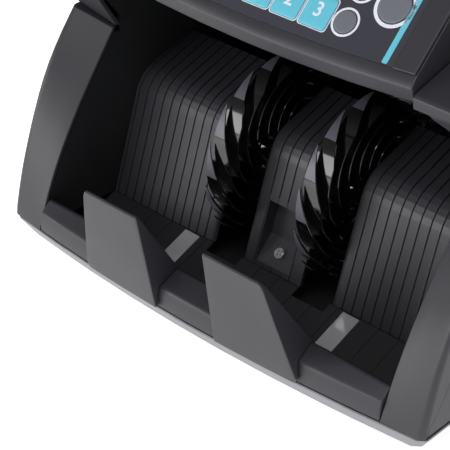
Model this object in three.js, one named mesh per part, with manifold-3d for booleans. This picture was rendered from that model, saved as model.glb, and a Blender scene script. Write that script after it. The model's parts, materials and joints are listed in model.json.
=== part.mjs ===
// A desktop banknote counting machine. Millimetres, +Z up, the operator's side faces -Y.
// The frame's zero is the middle of the footprint, at the underside of the feet.
// Side profiles are lists of [y, z]; their y is counted from the line where the stacking bay's
// floor meets its back wall, and the whole machine is moved to its own middle at the end.
import * as THREE from 'three';
import Module from 'manifold-3d';
import { mergeVertices } from 'three/addons/utils/BufferGeometryUtils.js';

const wasm = await Module();
wasm.setup();

// ---------- driving sizes ----------
const MACHINE_WIDTH = 290;
const MACHINE_BACK_Y = 165;
const BAY_HALF_WIDTH = 121;
const FIT_GAP = 0.4;
const SHELL_WALL = 2.6;

const FOOT_HEIGHT = 6;
const FOOT_RADIUS = 9;
const BASE_TOP_Z = 18.6;
const BASE_PLATE = 2.4;
const BASE_WALL = 2.6;
const BASE_UNDERCUT = 7.5;
const BASE_STRAIGHT = 1.2;
const FRONT_CENTRE_Y = -63;
const FRONT_BOW = 9;

const FLOOR_BACK_Z = 19.4;
const FLOOR_SLOPE_DEG = 20;
const FLOOR_SLOPE_LENGTH = 25.5;
const FLOOR_THICKNESS = 1.5;
const FLOOR_LIP_Z = 16;
const FLOOR_RIB_PITCH = 13.5;
const WINDOW_INNER_X = 51.6;
const WINDOW_WIDTH = 10.8;

const APRON_TOP_Z = 35.4;
const APRON_BACK_Y = -47;
const APRON_CREST_Z = 31.4;
const APRON_LEG_Z = 14;

const WALL_LEAN_DEG = 18.6;
const WALL_THICKNESS = 2.2;
const SHOULDER_START_Z = 77;
const SHOULDER_RADIUS = 20;
const SHOULDER_SLOPE_DEG = 18;
const SHOULDER_END_Y = 64;
const GROOVE_PITCH = 6.3;
const GROOVE_FIRST = 7.1;
const MIDDLE_GROOVE_FIRST = 7.8;
const GROOVE_WIDTH = 0.9;
const GROOVE_DEPTH = 0.8;
const SLOT_INNER_X = 20.4;
const SLOT_OUTER_X = 42;
const POCKET_HALF_WIDTH = 12;
const POCKET_TOP_Z = 54;

const STOP_INNER_TOP_X = 22.6;
const STOP_INNER_BOTTOM_X = 20.7;
const STOP_OUTER_TOP_X = 61.8;
const STOP_OUTER_BOTTOM_X = 74.3;
const STOP_TOP_Y = -75.6;
const STOP_TOP_Z = 78.5;
const STOP_PLATE = 2.2;

const WHEEL_Y = 41.7;
const WHEEL_Z = 66.5;
const WHEEL_RADIUS = 53;
const WHEEL_CENTRE_X = 31.2;
const FIN_COUNT = 14;
const FIN_WIDTH = 13;
const FIN_WRAP_DEG = 128;
const FIN_TIP_DEG = 17;
const FIN_POINT_DEG = 34;
const FIN_THICKNESS = 1.3;
const FIN_FIRST_DROP = 2.4;
const FIN_CURL = 1.75;
const HUB_RADIUS = 15;

const HEAD_HALF_WIDTH = 99.5;
const HEAD_FRONT_Y = -22.6;
const HEAD_FRONT_Z = 173.6;
const HEAD_BOW = 4.5;
const PANEL_SLOPE_DEG = 44;
const PANEL_LENGTH = 88;
const HEAD_TOP_DEPTH = 31;
const FASCIA_HEIGHT = 7.5;

const KEY_PITCH_X = 17.6;
const KEY_PITCH_V = 17.8;
const KEY_WIDTH = 15.8;
const KEY_HEIGHT = 16.2;
const KEY_TRAVEL = 0.5;
const KEY_MIDDLE_X = 18.4;
const KEY_FIRST_V = 18.6;
const ROUND_KEY_RADIUS = 5.8;
const ROUND_KEY_X = 52.2;
const START_KEY_RADIUS = 8.4;
const START_KEY_X = 72;
const START_KEY_V = 33.6;

const HOPPER_SLOPE_DEG = 30;
const HOPPER_START_Y = 74;
const HOPPER_START_Z = 188;
const HOPPER_LENGTH = 88;
const HOPPER_PLATE = 2;
const HOPPER_HALF_WIDTH = 99.5;
const GUIDE_TRAVEL = 28;
const GUIDE_REST_X = 92;

const FEED_RADIUS = 26;
const PICKUP_RADIUS = 14;
const RETARD_RADIUS = 9;
const PINCH_RADIUS = 7;
const SHAFT_RADIUS = 4;

const FRAME_THICKNESS = 3;
const BELT_THICKNESS = 1.4;
const BELT_WIDTH = 6;
const STACKER_PULLEY_RADIUS = 16;
const FEED_PULLEY_RADIUS = 13;
const PICKUP_PULLEY_RADIUS = 13;
const MOTOR_PULLEY_RADIUS = 8;
const MOTOR_Y = 117;
const MOTOR_Z = 56;
const MOTOR_RADIUS = 19;

// ---------- derived places ----------
const HALF_WIDTH = MACHINE_WIDTH / 2;
const RAD = Math.PI / 180;
const sinD = (a) => Math.sin(a * RAD);
const cosD = (a) => Math.cos(a * RAD);
const frontY = (x) => FRONT_CENTRE_Y + FRONT_BOW * (x / HALF_WIDTH) ** 2;
const BASE_BOTTOM_Z = FOOT_HEIGHT;
const HOUSING_BOTTOM_Z = BASE_TOP_Z + FIT_GAP;
const panelPoint = (v, n) => [
  HEAD_FRONT_Y + v * cosD(PANEL_SLOPE_DEG) - n * sinD(PANEL_SLOPE_DEG),
  HEAD_FRONT_Z + v * sinD(PANEL_SLOPE_DEG) + n * cosD(PANEL_SLOPE_DEG),
];
const hopperPoint = (s, n) => [
  HOPPER_START_Y + s * cosD(HOPPER_SLOPE_DEG) - n * sinD(HOPPER_SLOPE_DEG),
  HOPPER_START_Z + s * sinD(HOPPER_SLOPE_DEG) + n * cosD(HOPPER_SLOPE_DEG),
];
const FEED = hopperPoint(-3, -(FEED_RADIUS - 1));
const PICKUP = hopperPoint(52, -(PICKUP_RADIUS - 1));
const polarFrom = (centre, reach, angle) => [
  centre[0] + reach * cosD(angle),
  centre[1] + reach * sinD(angle),
];
const RETARD = polarFrom(FEED, FEED_RADIUS + RETARD_RADIUS + FIT_GAP, 160);
const PINCH = polarFrom(FEED, FEED_RADIUS + PINCH_RADIUS + FIT_GAP, 202);
const FRAME_INNER_X = BAY_HALF_WIDTH + FIT_GAP;
const FRAME_OUTER_X = FRAME_INNER_X + FRAME_THICKNESS;
const BELT_X = FRAME_OUTER_X + 3;

// ---------- making and joining solids ----------
function geometryOf(solid) {
  const mesh = solid.getMesh();
  const made = new THREE.BufferGeometry();
  const count = mesh.vertProperties.length / mesh.numProp;
  const position = new Float32Array(count * 3);
  for (let i = 0; i < count; i++) {
    for (let k = 0; k < 3; k++) {
      position[i * 3 + k] = mesh.vertProperties[i * mesh.numProp + k];
    }
  }
  made.setAttribute('position', new THREE.BufferAttribute(position, 3));
  made.setIndex(Array.from(mesh.triVerts));
  made.computeVertexNormals();
  return made;
}

function solidOf(geometry) {
  const bare = geometry.clone();
  bare.deleteAttribute('normal');
  bare.deleteAttribute('uv');
  const merged = mergeVertices(bare, 1e-4);
  return new wasm.Manifold(new wasm.Mesh({
    numProp: 3,
    vertProperties: new Float32Array(merged.attributes.position.array),
    triVerts: new Uint32Array(merged.index.array),
  }));
}

function join(...parts) {
  return parts.reduce((all, next) => all.add(next));
}

function cut(body, ...tools) {
  return tools.reduce((all, next) => all.subtract(next), body);
}

const AXES = {
  x: [[0, 1, 0], [0, 0, 1], [1, 0, 0]],
  y: [[0, 0, 1], [1, 0, 0], [0, 1, 0]],
  z: [[1, 0, 0], [0, 1, 0], [0, 0, 1]],
};

// A flat outline carried straight along one axis. The outline's two numbers are
// [y, z] along x, [z, x] along y and [x, y] along z.
function prism(axis, outline, from, to) {
  const shape = new THREE.Shape(outline.map(([a, b]) => new THREE.Vector2(a, b)));
  const made = new THREE.ExtrudeGeometry(shape, { depth: to - from, bevelEnabled: false });
  const [u, v, w] = AXES[axis].map((d) => new THREE.Vector3(...d));
  made.translate(0, 0, from);
  made.applyMatrix4(new THREE.Matrix4().makeBasis(u, v, w));
  return solidOf(made);
}

function box(x0, x1, y0, y1, z0, z1) {
  return prism('x', [[y0, z0], [y1, z0], [y1, z1], [y0, z1]], x0, x1);
}

function circle(cu, cv, radius, segments = 24) {
  const points = [];
  for (let i = 0; i < segments; i++) {
    const a = (i / segments) * 360;
    points.push([cu + radius * cosD(a), cv + radius * sinD(a)]);
  }
  return points;
}

function rod(x0, x1, y, z, radius, segments = 28) {
  return prism('x', circle(y, z, radius, segments), x0, x1);
}

function roundedRect(u0, u1, v0, v1, radius, steps = 4) {
  const corners = [
    [u1 - radius, v1 - radius, 0],
    [u0 + radius, v1 - radius, 90],
    [u0 + radius, v0 + radius, 180],
    [u1 - radius, v0 + radius, 270],
  ];
  const points = [];
  for (const [cu, cv, start] of corners) {
    for (let i = 0; i <= steps; i++) {
      const a = start + (90 * i) / steps;
      points.push([cu + radius * cosD(a), cv + radius * sinD(a)]);
    }
  }
  return points;
}

// Stations of equal point count skinned into one closed body, capped at both ends. The outline
// gives the caps' shape in two numbers per point.
function loft(stations, outline) {
  const n = stations[0].length;
  const index = [];
  for (let s = 0; s + 1 < stations.length; s++) {
    for (let i = 0; i < n; i++) {
      const a = s * n + i;
      const b = s * n + ((i + 1) % n);
      index.push(a, b, b + n, a, b + n, a + n);
    }
  }
  const flat = outline.map(([u, v]) => new THREE.Vector2(u, v));
  const clockwise = THREE.ShapeUtils.isClockWise(flat);
  const last = (stations.length - 1) * n;
  for (const [a, b, c] of THREE.ShapeUtils.triangulateShape(flat, [])) {
    const leftHanded = THREE.ShapeUtils.area([flat[a], flat[b], flat[c]]) < 0;
    const [p, q] = leftHanded === clockwise ? [b, c] : [c, b];
    index.push(a, q, p, last + a, last + p, last + q);
  }
  const made = new THREE.BufferGeometry();
  made.setAttribute('position', new THREE.Float32BufferAttribute(stations.flat(2), 3));
  made.setIndex(index);
  return facingOut(made);
}

// The solid of a closed surface, turned right side out.
function facingOut(geometry) {
  const solid = solidOf(geometry);
  if (solid.volume() > 0) return solid;
  const index = Array.from(geometry.index.array);
  for (let i = 0; i < index.length; i += 3) {
    [index[i + 1], index[i + 2]] = [index[i + 2], index[i + 1]];
  }
  return solidOf(geometry.setIndex(index));
}

// A side section that may change from one x to the next.
function sweepX(section, xs) {
  const stations = xs.map((x) => section(x).map(([y, z]) => [x, y, z]));
  return loft(stations, section(xs[0]));
}

function spread(from, to, steps) {
  return Array.from({ length: steps + 1 }, (_, i) => from + ((to - from) * i) / steps);
}

// A side outline moved inwards by one distance; corners stay mitred.
function inset(points, distance) {
  const n = points.length;
  return points.map((p, i) => {
    const before = points[(i + n - 1) % n];
    const after = points[(i + 1) % n];
    const a = normalOf(before, p);
    const b = normalOf(p, after);
    const scale = distance / (1 + a[0] * b[0] + a[1] * b[1]);
    return [p[0] + (a[0] + b[0]) * scale, p[1] + (a[1] + b[1]) * scale];
  });
}

function normalOf(p, q) {
  const length = Math.hypot(q[0] - p[0], q[1] - p[1]);
  return [-(q[1] - p[1]) / length, (q[0] - p[0]) / length];
}

// A round-sectioned spool along x: pairs of [x, radius], from and back to the axis.
function spool(steps, y, z, segments = 26) {
  const made = new THREE.LatheGeometry(
    [[steps[0][0], 0], ...steps, [steps[steps.length - 1][0], 0]]
      .map(([x, r]) => new THREE.Vector2(r, x)),
    segments,
  );
  made.applyMatrix4(new THREE.Matrix4().makeBasis(
    new THREE.Vector3(0, 1, 0),
    new THREE.Vector3(1, 0, 0),
    new THREE.Vector3(0, 0, -1),
  ));
  made.translate(0, y, z);
  return facingOut(made);
}

// ---------- the parts ----------
const root = new THREE.Group();
root.name = 'banknote_counting_machine';

const FINISH = {
  housing: [0x3b3b3f, 0.5, 0],
  inner: [0x242427, 0.7, 0],
  base: [0x55555a, 0.6, 0],
  rubber: [0x18181a, 0.85, 0],
  clear: [0xb9bcc2, 0.08, 0],
  steel: [0xb4b6b8, 0.35, 1],
  wheel: [0x121214, 0.2, 0],
  panel: [0x53555e, 0.45, 0],
  key: [0x6cc0d4, 0.5, 0],
  roundKey: [0x7c7f88, 0.5, 0],
  board: [0x1c5a36, 0.6, 0],
  display: [0x0c1012, 0.1, 0],
};

function place(name, solid, finish) {
  const [color, roughness, metalness] = FINISH[finish];
  const material = new THREE.MeshStandardMaterial({ color, roughness, metalness });
  const mesh = new THREE.Mesh(geometryOf(solid), material);
  mesh.name = name;
  root.add(mesh);
}

function placePair(name, solid, finish) {
  place(`left_${name}`, solid.mirror([1, 0, 0]), finish);
  place(`right_${name}`, solid, finish);
}

function planOutline(margin) {
  const half = HALF_WIDTH - margin;
  const corner = 4;
  const points = spread(-half + corner, half - corner, 16).map((x) => [x, frontY(x) + margin]);
  const sideFront = frontY(half) + margin + corner * 0.7;
  points.push([half, sideFront], [half, MACHINE_BACK_Y - margin - corner]);
  points.push([half - corner, MACHINE_BACK_Y - margin]);
  points.push([-half + corner, MACHINE_BACK_Y - margin]);
  points.push([-half, MACHINE_BACK_Y - margin - corner], [-half, sideFront]);
  return points;
}

// The tray's plan at one height, set in from its walls; the walls lean in towards the feet.
function baseStation(z, wall) {
  const rise = BASE_TOP_Z - BASE_STRAIGHT - BASE_BOTTOM_Z;
  const lean = BASE_UNDERCUT * Math.max(0, (BASE_TOP_Z - BASE_STRAIGHT - z) / rise);
  return planOutline(lean + wall).map(([x, y]) => [x, y, z]);
}

function makeBase() {
  const knee = BASE_TOP_Z - BASE_STRAIGHT;
  const outside = [BASE_BOTTOM_Z, knee, BASE_TOP_Z].map((z) => baseStation(z, 0));
  const inside = [BASE_BOTTOM_Z + BASE_PLATE, knee, BASE_TOP_Z + 1].map((z) => baseStation(z, BASE_WALL));
  const shell = cut(loft(outside, planOutline(0)), loft(inside, planOutline(0)));
  const slots = spread(-42, 42, 6).map((x) => box(x - 2, x + 2, 92, 140, 0, BASE_TOP_Z));
  place('base_tray', cut(shell, ...slots), 'base');
}

function makeFeet() {
  const profile = [[0, FOOT_RADIUS - 2], [1, FOOT_RADIUS - 0.6], [FOOT_HEIGHT - 0.3, FOOT_RADIUS]];
  const places = { front_left: [-118, -34], front_right: [118, -34], back_left: [-118, 142], back_right: [118, 142] };
  for (const [side, [x, y]] of Object.entries(places)) {
    const made = new THREE.LatheGeometry(
      [[0, 0], ...profile.map(([z, r]) => [r, z]), [0, FOOT_HEIGHT - 0.3]]
        .map(([r, z]) => new THREE.Vector2(r, z)),
      28,
    );
    made.rotateX(Math.PI / 2);
    made.translate(x, y, 0);
    place(`foot_${side}`, solidOf(made), 'rubber');
  }
}

// The apron's skin, outside face first, as an upside-down channel.
function apronSection(x) {
  const front = frontY(x);
  const low = HOUSING_BOTTOM_Z;
  const inner = SHELL_WALL;
  return [
    [front, low],
    [front + 0.2, 26],
    [front + 1.3, APRON_CREST_Z - 1.2],
    [front + 3, APRON_CREST_Z],
    [APRON_BACK_Y - 2.5, APRON_TOP_Z],
    [APRON_BACK_Y - 0.6, APRON_TOP_Z],
    [APRON_BACK_Y, APRON_TOP_Z - 0.8],
    [APRON_BACK_Y, APRON_LEG_Z],
    [APRON_BACK_Y - inner, APRON_LEG_Z],
    [APRON_BACK_Y - inner, APRON_TOP_Z - inner],
    [front + inner + 2, APRON_CREST_Z - inner],
    [front + inner, low],
  ];
}

function makeApron() {
  place('front_apron', sweepX(apronSection, spread(-120.6, 120.6, 20)), 'housing');
}

function floorSection(top, thickness) {
  const run = FLOOR_SLOPE_LENGTH * cosD(FLOOR_SLOPE_DEG);
  const drop = FLOOR_SLOPE_LENGTH * sinD(FLOOR_SLOPE_DEG);
  const z = FLOOR_BACK_Z + top;
  const end = APRON_BACK_Y + FIT_GAP;
  return [
    [end, FLOOR_LIP_Z + top],
    [end + thickness, FLOOR_LIP_Z + top],
    [end + thickness, z - drop],
    [-run, z - drop],
    [-0.1, z],
    [-0.1, z - thickness],
    [-run - 0.2, z - drop - thickness],
    [end, z - drop - thickness],
  ];
}

function windowCut(x0, grow) {
  const run = FLOOR_SLOPE_LENGTH * cosD(FLOOR_SLOPE_DEG);
  return box(x0 - grow, x0 + WINDOW_WIDTH + grow, -run + 0.6 - grow, -1 + grow, 0, 60);
}

function makeFloor() {
  const slab = prism('x', floorSection(0, FLOOR_THICKNESS), -BAY_HALF_WIDTH, BAY_HALF_WIDTH);
  const clipped = prism('x', floorSection(0.35, 0.7), -BAY_HALF_WIDTH, BAY_HALF_WIDTH);
  const ribs = [];
  for (let x = -BAY_HALF_WIDTH + 6; x < BAY_HALF_WIDTH; x += FLOOR_RIB_PITCH) {
    const clear = Math.abs(Math.abs(x) - WINDOW_INNER_X - WINDOW_WIDTH / 2) > WINDOW_WIDTH / 2 + 1.5;
    if (clear) ribs.push(clipped.intersect(box(x - 0.5, x + 0.5, -60, 5, 0, 60)));
  }
  const tools = [
    windowCut(WINDOW_INNER_X, FIT_GAP / 2),
    windowCut(-WINDOW_INNER_X - WINDOW_WIDTH, FIT_GAP / 2),
  ];
  for (const side of [-1, 1]) {
    const middle = (side * (SLOT_INNER_X + SLOT_OUTER_X)) / 2;
    const half = (SLOT_OUTER_X - SLOT_INNER_X) / 2;
    tools.push(box(middle - half, middle + half, -6, 5, 0, 60));
  }
  place('tray_floor', cut(join(slab, ...ribs), ...tools), 'inner');
  const strip = prism('x', floorSection(0.3, FLOOR_THICKNESS), -BAY_HALF_WIDTH, BAY_HALF_WIDTH);
  placePair('tray_window', strip.intersect(windowCut(WINDOW_INNER_X, 0)), 'clear');
}

// The back wall's path: points with their outward normals, from floor to roof.
function wallPath() {
  const lean = WALL_LEAN_DEG;
  const path = [];
  const bottom = FLOOR_BACK_Z - 0.2;
  const tilt = (z) => 0.6 + (z - bottom) * Math.tan(lean * RAD);
  for (const z of [bottom, SHOULDER_START_Z]) {
    path.push({ y: tilt(z), z, ny: -cosD(lean), nz: sinD(lean) });
  }
  const turn = 90 - lean - SHOULDER_SLOPE_DEG;
  const centre = [
    tilt(SHOULDER_START_Z) + SHOULDER_RADIUS * cosD(lean),
    SHOULDER_START_Z - SHOULDER_RADIUS * sinD(lean),
  ];
  for (let i = 1; i <= 5; i++) {
    const a = lean + (turn * i) / 5;
    path.push({
      y: centre[0] - SHOULDER_RADIUS * cosD(a),
      z: centre[1] + SHOULDER_RADIUS * sinD(a),
      ny: -cosD(a),
      nz: sinD(a),
    });
  }
  const last = path[path.length - 1];
  const rest = SHOULDER_END_Y - last.y;
  path.push({ ...last, y: SHOULDER_END_Y, z: last.z + rest * Math.tan(SHOULDER_SLOPE_DEG * RAD) });
  return path;
}

// A ribbed skin: grooves run up the wall and over its shoulder.
function ribbedWall(x0, x1, first) {
  const top = [[x0, -1.4], [x0 + 0.8, -0.4], [x0 + 2.2, 0]];
  const half = GROOVE_WIDTH / 2;
  for (let x = x0 + first; x + 2.5 * GROOVE_WIDTH < x1; x += GROOVE_PITCH) {
    top.push([x - half, 0], [x - half, -GROOVE_DEPTH], [x + half, -GROOVE_DEPTH], [x + half, 0]);
  }
  top.push([x1, 0], [x1, -WALL_THICKNESS], [x0, -WALL_THICKNESS]);
  const stations = wallPath().map((p) => top.map(([x, n]) => [x, p.y + p.ny * n, p.z + p.nz * n]));
  return loft(stations, top);
}

function makeBayWalls() {
  placePair('bay_wall', ribbedWall(SLOT_OUTER_X + 0.3, BAY_HALF_WIDTH, GROOVE_FIRST), 'housing');
  const middle = ribbedWall(-SLOT_INNER_X, SLOT_INNER_X, MIDDLE_GROOVE_FIRST);
  const half = POCKET_HALF_WIDTH;
  const face = (z, n) => 0.6 + (z - FLOOR_BACK_Z) * Math.tan(WALL_LEAN_DEG * RAD) + n;
  const low = FLOOR_BACK_Z - 0.2;
  const shell = prism('x', [
    [face(low, 0.6), low],
    [face(low, 4), low],
    [face(32, 11), 32],
    [face(POCKET_TOP_Z, 11), POCKET_TOP_Z + 3],
    [face(POCKET_TOP_Z, 1.4), POCKET_TOP_Z + 3],
  ], -half - 1.6, half + 1.6);
  const hollow = prism('x', [
    [face(low, -4), low + 2],
    [face(low, 1.6), low + 2],
    [face(32, 9), 33],
    [face(POCKET_TOP_Z, 9), POCKET_TOP_Z],
    [face(POCKET_TOP_Z, -4), POCKET_TOP_Z],
  ], -half, half);
  const slope = Math.atan2(33 - low - 2, face(32, 9) - face(low, 1.6)) / RAD;
  const seat = [(face(low, 1.6) + face(32, 9)) / 2, (low + 35) / 2];
  const along = [cosD(slope), sinD(slope)];
  const out = [-along[1], along[0]];
  const at = (a, n) => [seat[0] + along[0] * a + out[0] * n, seat[1] + along[1] * a + out[1] * n];
  place('bay_wall_middle', cut(join(middle, shell), hollow), 'housing');
  makeBayScrew(at, slope);
}

// A pan-head screw lying on the pocket's sloped floor, with its cross recess.
function makeBayScrew(at, slope) {
  const head = prism('z', circle(0, 0, 3, 24), 0, 1.4);
  const dome = prism('z', circle(0, 0, 2.3, 24), 1.3, 2);
  const cross = [
    prism('z', [[-1.8, -0.35], [1.8, -0.35], [1.8, 0.35], [-1.8, 0.35]], 1, 3),
    prism('z', [[-0.35, -1.8], [0.35, -1.8], [0.35, 1.8], [-0.35, 1.8]], 1, 3),
  ];
  const [y, z] = at(0, FIT_GAP);
  const screw = cut(join(head, dome), ...cross).rotate([slope, 0, 0]).translate([0, y, z]);
  place('bay_screw', screw, 'steel');
}

// A note stop: a leaning front plate backed by a wedge that sits over the apron.
function stopSection(x) {
  const front = frontY(x);
  const gap = FIT_GAP;
  return [
    [front - STOP_PLATE - gap, HOUSING_BOTTOM_Z + 0.6],
    [STOP_TOP_Y, STOP_TOP_Z - 0.4],
    [STOP_TOP_Y + 0.4, STOP_TOP_Z],
    [STOP_TOP_Y + 1.9, STOP_TOP_Z],
    [STOP_TOP_Y + 2.3, STOP_TOP_Z - 0.5],
    [APRON_BACK_Y - 0.6, APRON_TOP_Z + gap + 0.6],
    [APRON_BACK_Y - 1.2, APRON_TOP_Z + gap],
    [APRON_BACK_Y - 2.6, APRON_TOP_Z + gap],
    [front + 2.8, APRON_CREST_Z + gap + 0.1],
    [front + 0.9, APRON_CREST_Z - 0.6],
    [front - gap - 0.1, 26],
    [front - gap - 0.1, HOUSING_BOTTOM_Z + 0.6],
  ];
}

function makeStops() {
  const body = sweepX(stopSection, spread(STOP_INNER_BOTTOM_X - 1, STOP_OUTER_BOTTOM_X + 1, 8));
  const outline = [
    [HOUSING_BOTTOM_Z, STOP_INNER_BOTTOM_X],
    [HOUSING_BOTTOM_Z, STOP_OUTER_BOTTOM_X - 2],
    [HOUSING_BOTTOM_Z + 4, STOP_OUTER_BOTTOM_X],
    [STOP_TOP_Z - 4, STOP_OUTER_TOP_X + 0.4],
    [STOP_TOP_Z - 1.2, STOP_OUTER_TOP_X - 0.9],
    [STOP_TOP_Z + 1, STOP_OUTER_TOP_X - 3.6],
    [STOP_TOP_Z + 1, STOP_INNER_TOP_X + 0.6],
    [STOP_TOP_Z - 2, STOP_INNER_TOP_X],
  ];
  placePair('note_stop', body.intersect(prism('y', outline, -90, -20)), 'housing');
}

// The convex front bands by height: z, the face's y at the bay, its y at the outer side, and how
// far the band wraps round on to the side.
const BAND_ROWS = [
  [10, -58.4, -55.4, 2.6], [19, -57, -54.8, 3], [24, -55.4, -54.2, 4.2], [30, -53, -52.8, 8],
  [38, -49.8, -50.8, 11.2], [46, -46.2, -48.6, 13.4], [54, -42.2, -46, 14.6], [62, -37.8, -43.2, 15.4],
  [70, -33, -40.3, 16], [78, -28, -37.2, 16], [86, -22.6, -33.8, 16], [94, -16.8, -30, 16],
  [102, -10.8, -25.6, 16.6], [110, -4.8, -20.4, 17.4], [118, 1.4, -14.5, 18], [126, 7.8, -8, 18],
  [142, 20.6, 5, 18],
];
const PART_LINE_INNER_Z = 121.5;
const PART_LINE_RISE = 0.38;
const partLineZ = (x) => PART_LINE_INNER_Z + PART_LINE_RISE * (x - BAY_HALF_WIDTH);
const BAND_SKIN = 2.4;
const BAND_CORNER = 3.4;
const BAND_CAP = 3;
const COVER_TOP_Z = 140;

// The band's section at one x, from a depth behind its face to its back edge and beyond.
function bandSection(x, skin, beyond) {
  const t = (x - BAY_HALF_WIDTH) / (HALF_WIDTH - BAY_HALF_WIDTH);
  const past = Math.max(0, x - HALF_WIDTH + BAND_CORNER);
  const round = BAND_CORNER - Math.sqrt(Math.max(0, BAND_CORNER ** 2 - past ** 2));
  const front = [];
  const back = [];
  for (const [z, inner, outer, wrap] of BAND_ROWS) {
    const face = inner + (outer - inner) * t;
    const edge = inner + BAND_SKIN + (outer + wrap - inner - BAND_SKIN) * t;
    front.push([Math.min(face + round + skin, edge + beyond - 0.01), z]);
    back.unshift([edge + beyond, z]);
  }
  return [...front, ...back];
}

// Everything on one side of the slanted line between lower and upper housings.
function partLineBlock(above, gap) {
  const x0 = BAY_HALF_WIDTH - 30;
  const x1 = HALF_WIDTH + 10;
  const far = above ? 300 : -100;
  const shift = above ? -gap : gap;
  return prism('y', [
    [partLineZ(x0) + shift, x0],
    [far, x0],
    [far, x1],
    [partLineZ(x1) + shift, x1],
  ], -120, 220);
}

function makeBands() {
  const bends = [0.35, 0.7, 0.92].map((t) => HALF_WIDTH - BAND_CORNER * (1 - t));
  const across = [...spread(BAY_HALF_WIDTH, HALF_WIDTH - BAND_CORNER, 3), ...bends, HALF_WIDTH];
  const whole = sweepX((x) => bandSection(x, 0, 0), across);
  const inside = [BAY_HALF_WIDTH + 2, BAY_HALF_WIDTH + 12, HALF_WIDTH - BAND_SKIN];
  const hollow = sweepX((x) => bandSection(x, BAND_SKIN, 6), inside);
  const floor = box(100, 160, -80, 60, 0, HOUSING_BOTTOM_Z);
  const shell = cut(whole, cut(hollow, partLineBlock(true, BAND_CAP)));
  placePair('front_band', cut(shell, floor, partLineBlock(true, FIT_GAP / 2)), 'housing');
}

function coverOutline() {
  const rows = BAND_ROWS.filter(([z]) => z > HOUSING_BOTTOM_Z);
  const gap = FIT_GAP + 0.1;
  const face = rows.map(([z, inner, outer, wrap]) => [Math.max(outer + wrap, inner + BAND_SKIN) + gap, z]);
  return [
    ...face,
    [MACHINE_BACK_Y, COVER_TOP_Z + 2],
    [MACHINE_BACK_Y, HOUSING_BOTTOM_Z + 4],
    [MACHINE_BACK_Y - 4, HOUSING_BOTTOM_Z],
    [face[0][0] - 1.6, HOUSING_BOTTOM_Z],
  ].reverse();
}

function makeSideCovers() {
  const outline = coverOutline();
  const whole = prism('x', outline, FRAME_OUTER_X + FIT_GAP, HALF_WIDTH - 0.4);
  const hollow = prism('x', inset(outline, SHELL_WALL), 100, HALF_WIDTH - 0.4 - SHELL_WALL);
  const slots = spread(96, 138, 6).map((y) => box(130, 160, y - 1.5, y + 1.5, 46, 78));
  placePair(
    'side_cover',
    cut(whole, hollow, partLineBlock(true, FIT_GAP / 2), ...slots),
    'housing',
  );
}

function makeSideFrames() {
  const rows = BAND_ROWS.filter(([z]) => z > 22 && z < 128);
  const face = rows.map(([z, inner]) => [inner + BAND_SKIN + 0.8, z]);
  const outline = [
    ...face,
    [-8, 150],
    [20, 172],
    [62, 184],
    [148, 222],
    [156, 214],
    [156, HOUSING_BOTTOM_Z + 0.4],
    [face[0][0] - 0.4, HOUSING_BOTTOM_Z + 0.4],
  ].reverse();
  const holes = [[WHEEL_Y, WHEEL_Z], FEED, PICKUP, RETARD, PINCH]
    .map(([y, z]) => rod(110, 130, y, z, SHAFT_RADIUS + FIT_GAP, 24));
  const motorHole = rod(110, 130, MOTOR_Y, MOTOR_Z, 6, 24);
  const plate = prism('x', outline, FRAME_INNER_X, FRAME_OUTER_X);
  const made = cut(plate, ...holes, partSkirt());
  place('left_side_frame', made.mirror([1, 0, 0]), 'inner');
  place('right_side_frame', cut(made, motorHole), 'inner');
}

// Keeps the frame's upper front edge behind the upper housing's cheek.
function partSkirt() {
  return prism('x', [[-40, 118], [10.2, 118], [10.2, 122.2], [-15.6, 163.9], [-40, 163.9]], 100, 140);
}

// ---------- upper housing ----------
const CHEEK = [[6.8, 112], [6.8, 121], [-19, 162.6], [-20, 169.6], [-17.6, 171.6]];
const SHOULDER_TOP = [[62, 191.4], [150, 234.4], [158, 238], [163, 236], [MACHINE_BACK_Y, 231]];

function upperOutline() {
  return [...CHEEK, ...SHOULDER_TOP, [MACHINE_BACK_Y, 112]].reverse();
}

function makeUpperHousing() {
  const outline = upperOutline();
  const whole = prism('x', outline, -HALF_WIDTH, HALF_WIDTH);
  const shell = inset(outline, SHELL_WALL).map(([y, z]) => [y, z < 116 ? 80 : z]);
  const hollow = prism('x', shell, -HALF_WIDTH + SHELL_WALL, HALF_WIDTH - SHELL_WALL);
  const half = HEAD_HALF_WIDTH + FIT_GAP;
  const headCut = box(-half, half, -60, HEAD_BACK_Y + FIT_GAP, 80, 300);
  const hopperCut = box(-half, half, HEAD_BACK_Y, MACHINE_BACK_Y - 6.5, 170, 300);
  const mouth = prism('y', [
    [80, -BAY_HALF_WIDTH],
    [157, -BAY_HALF_WIDTH],
    [163.6, -BAY_HALF_WIDTH + 12],
    [163.6, BAY_HALF_WIDTH - 12],
    [157, BAY_HALF_WIDTH],
    [80, BAY_HALF_WIDTH],
  ], -60, 60);
  const door = box(-DOOR_HALF_WIDTH - FIT_GAP, DOOR_HALF_WIDTH + FIT_GAP,
    MACHINE_BACK_Y - 10, MACHINE_BACK_Y + 5, 60, DOOR_TOP_Z + FIT_GAP);
  const right = partLineBlock(false, FIT_GAP / 2);
  const left = right.mirror([1, 0, 0]);
  const middle = box(-BAY_HALF_WIDTH + 29, BAY_HALF_WIDTH - 29, -120, 220, 0, partLineZ(BAY_HALF_WIDTH - 30));
  place(
    'upper_housing',
    cut(whole, hollow, headCut, hopperCut, mouth, door, right, left, middle),
    'housing',
  );
}

// ---------- operator's head ----------
const HEAD_TOP = panelPoint(PANEL_LENGTH, 0);
const HEAD_BACK_Y = HEAD_TOP[0] + HEAD_TOP_DEPTH;
const DOOR_HALF_WIDTH = 92;
const DOOR_TOP_Z = 218;
const DOOR_BOTTOM_Z = 116;

const headBow = (x) => HEAD_BOW * (x / HEAD_HALF_WIDTH) ** 2;

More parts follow.
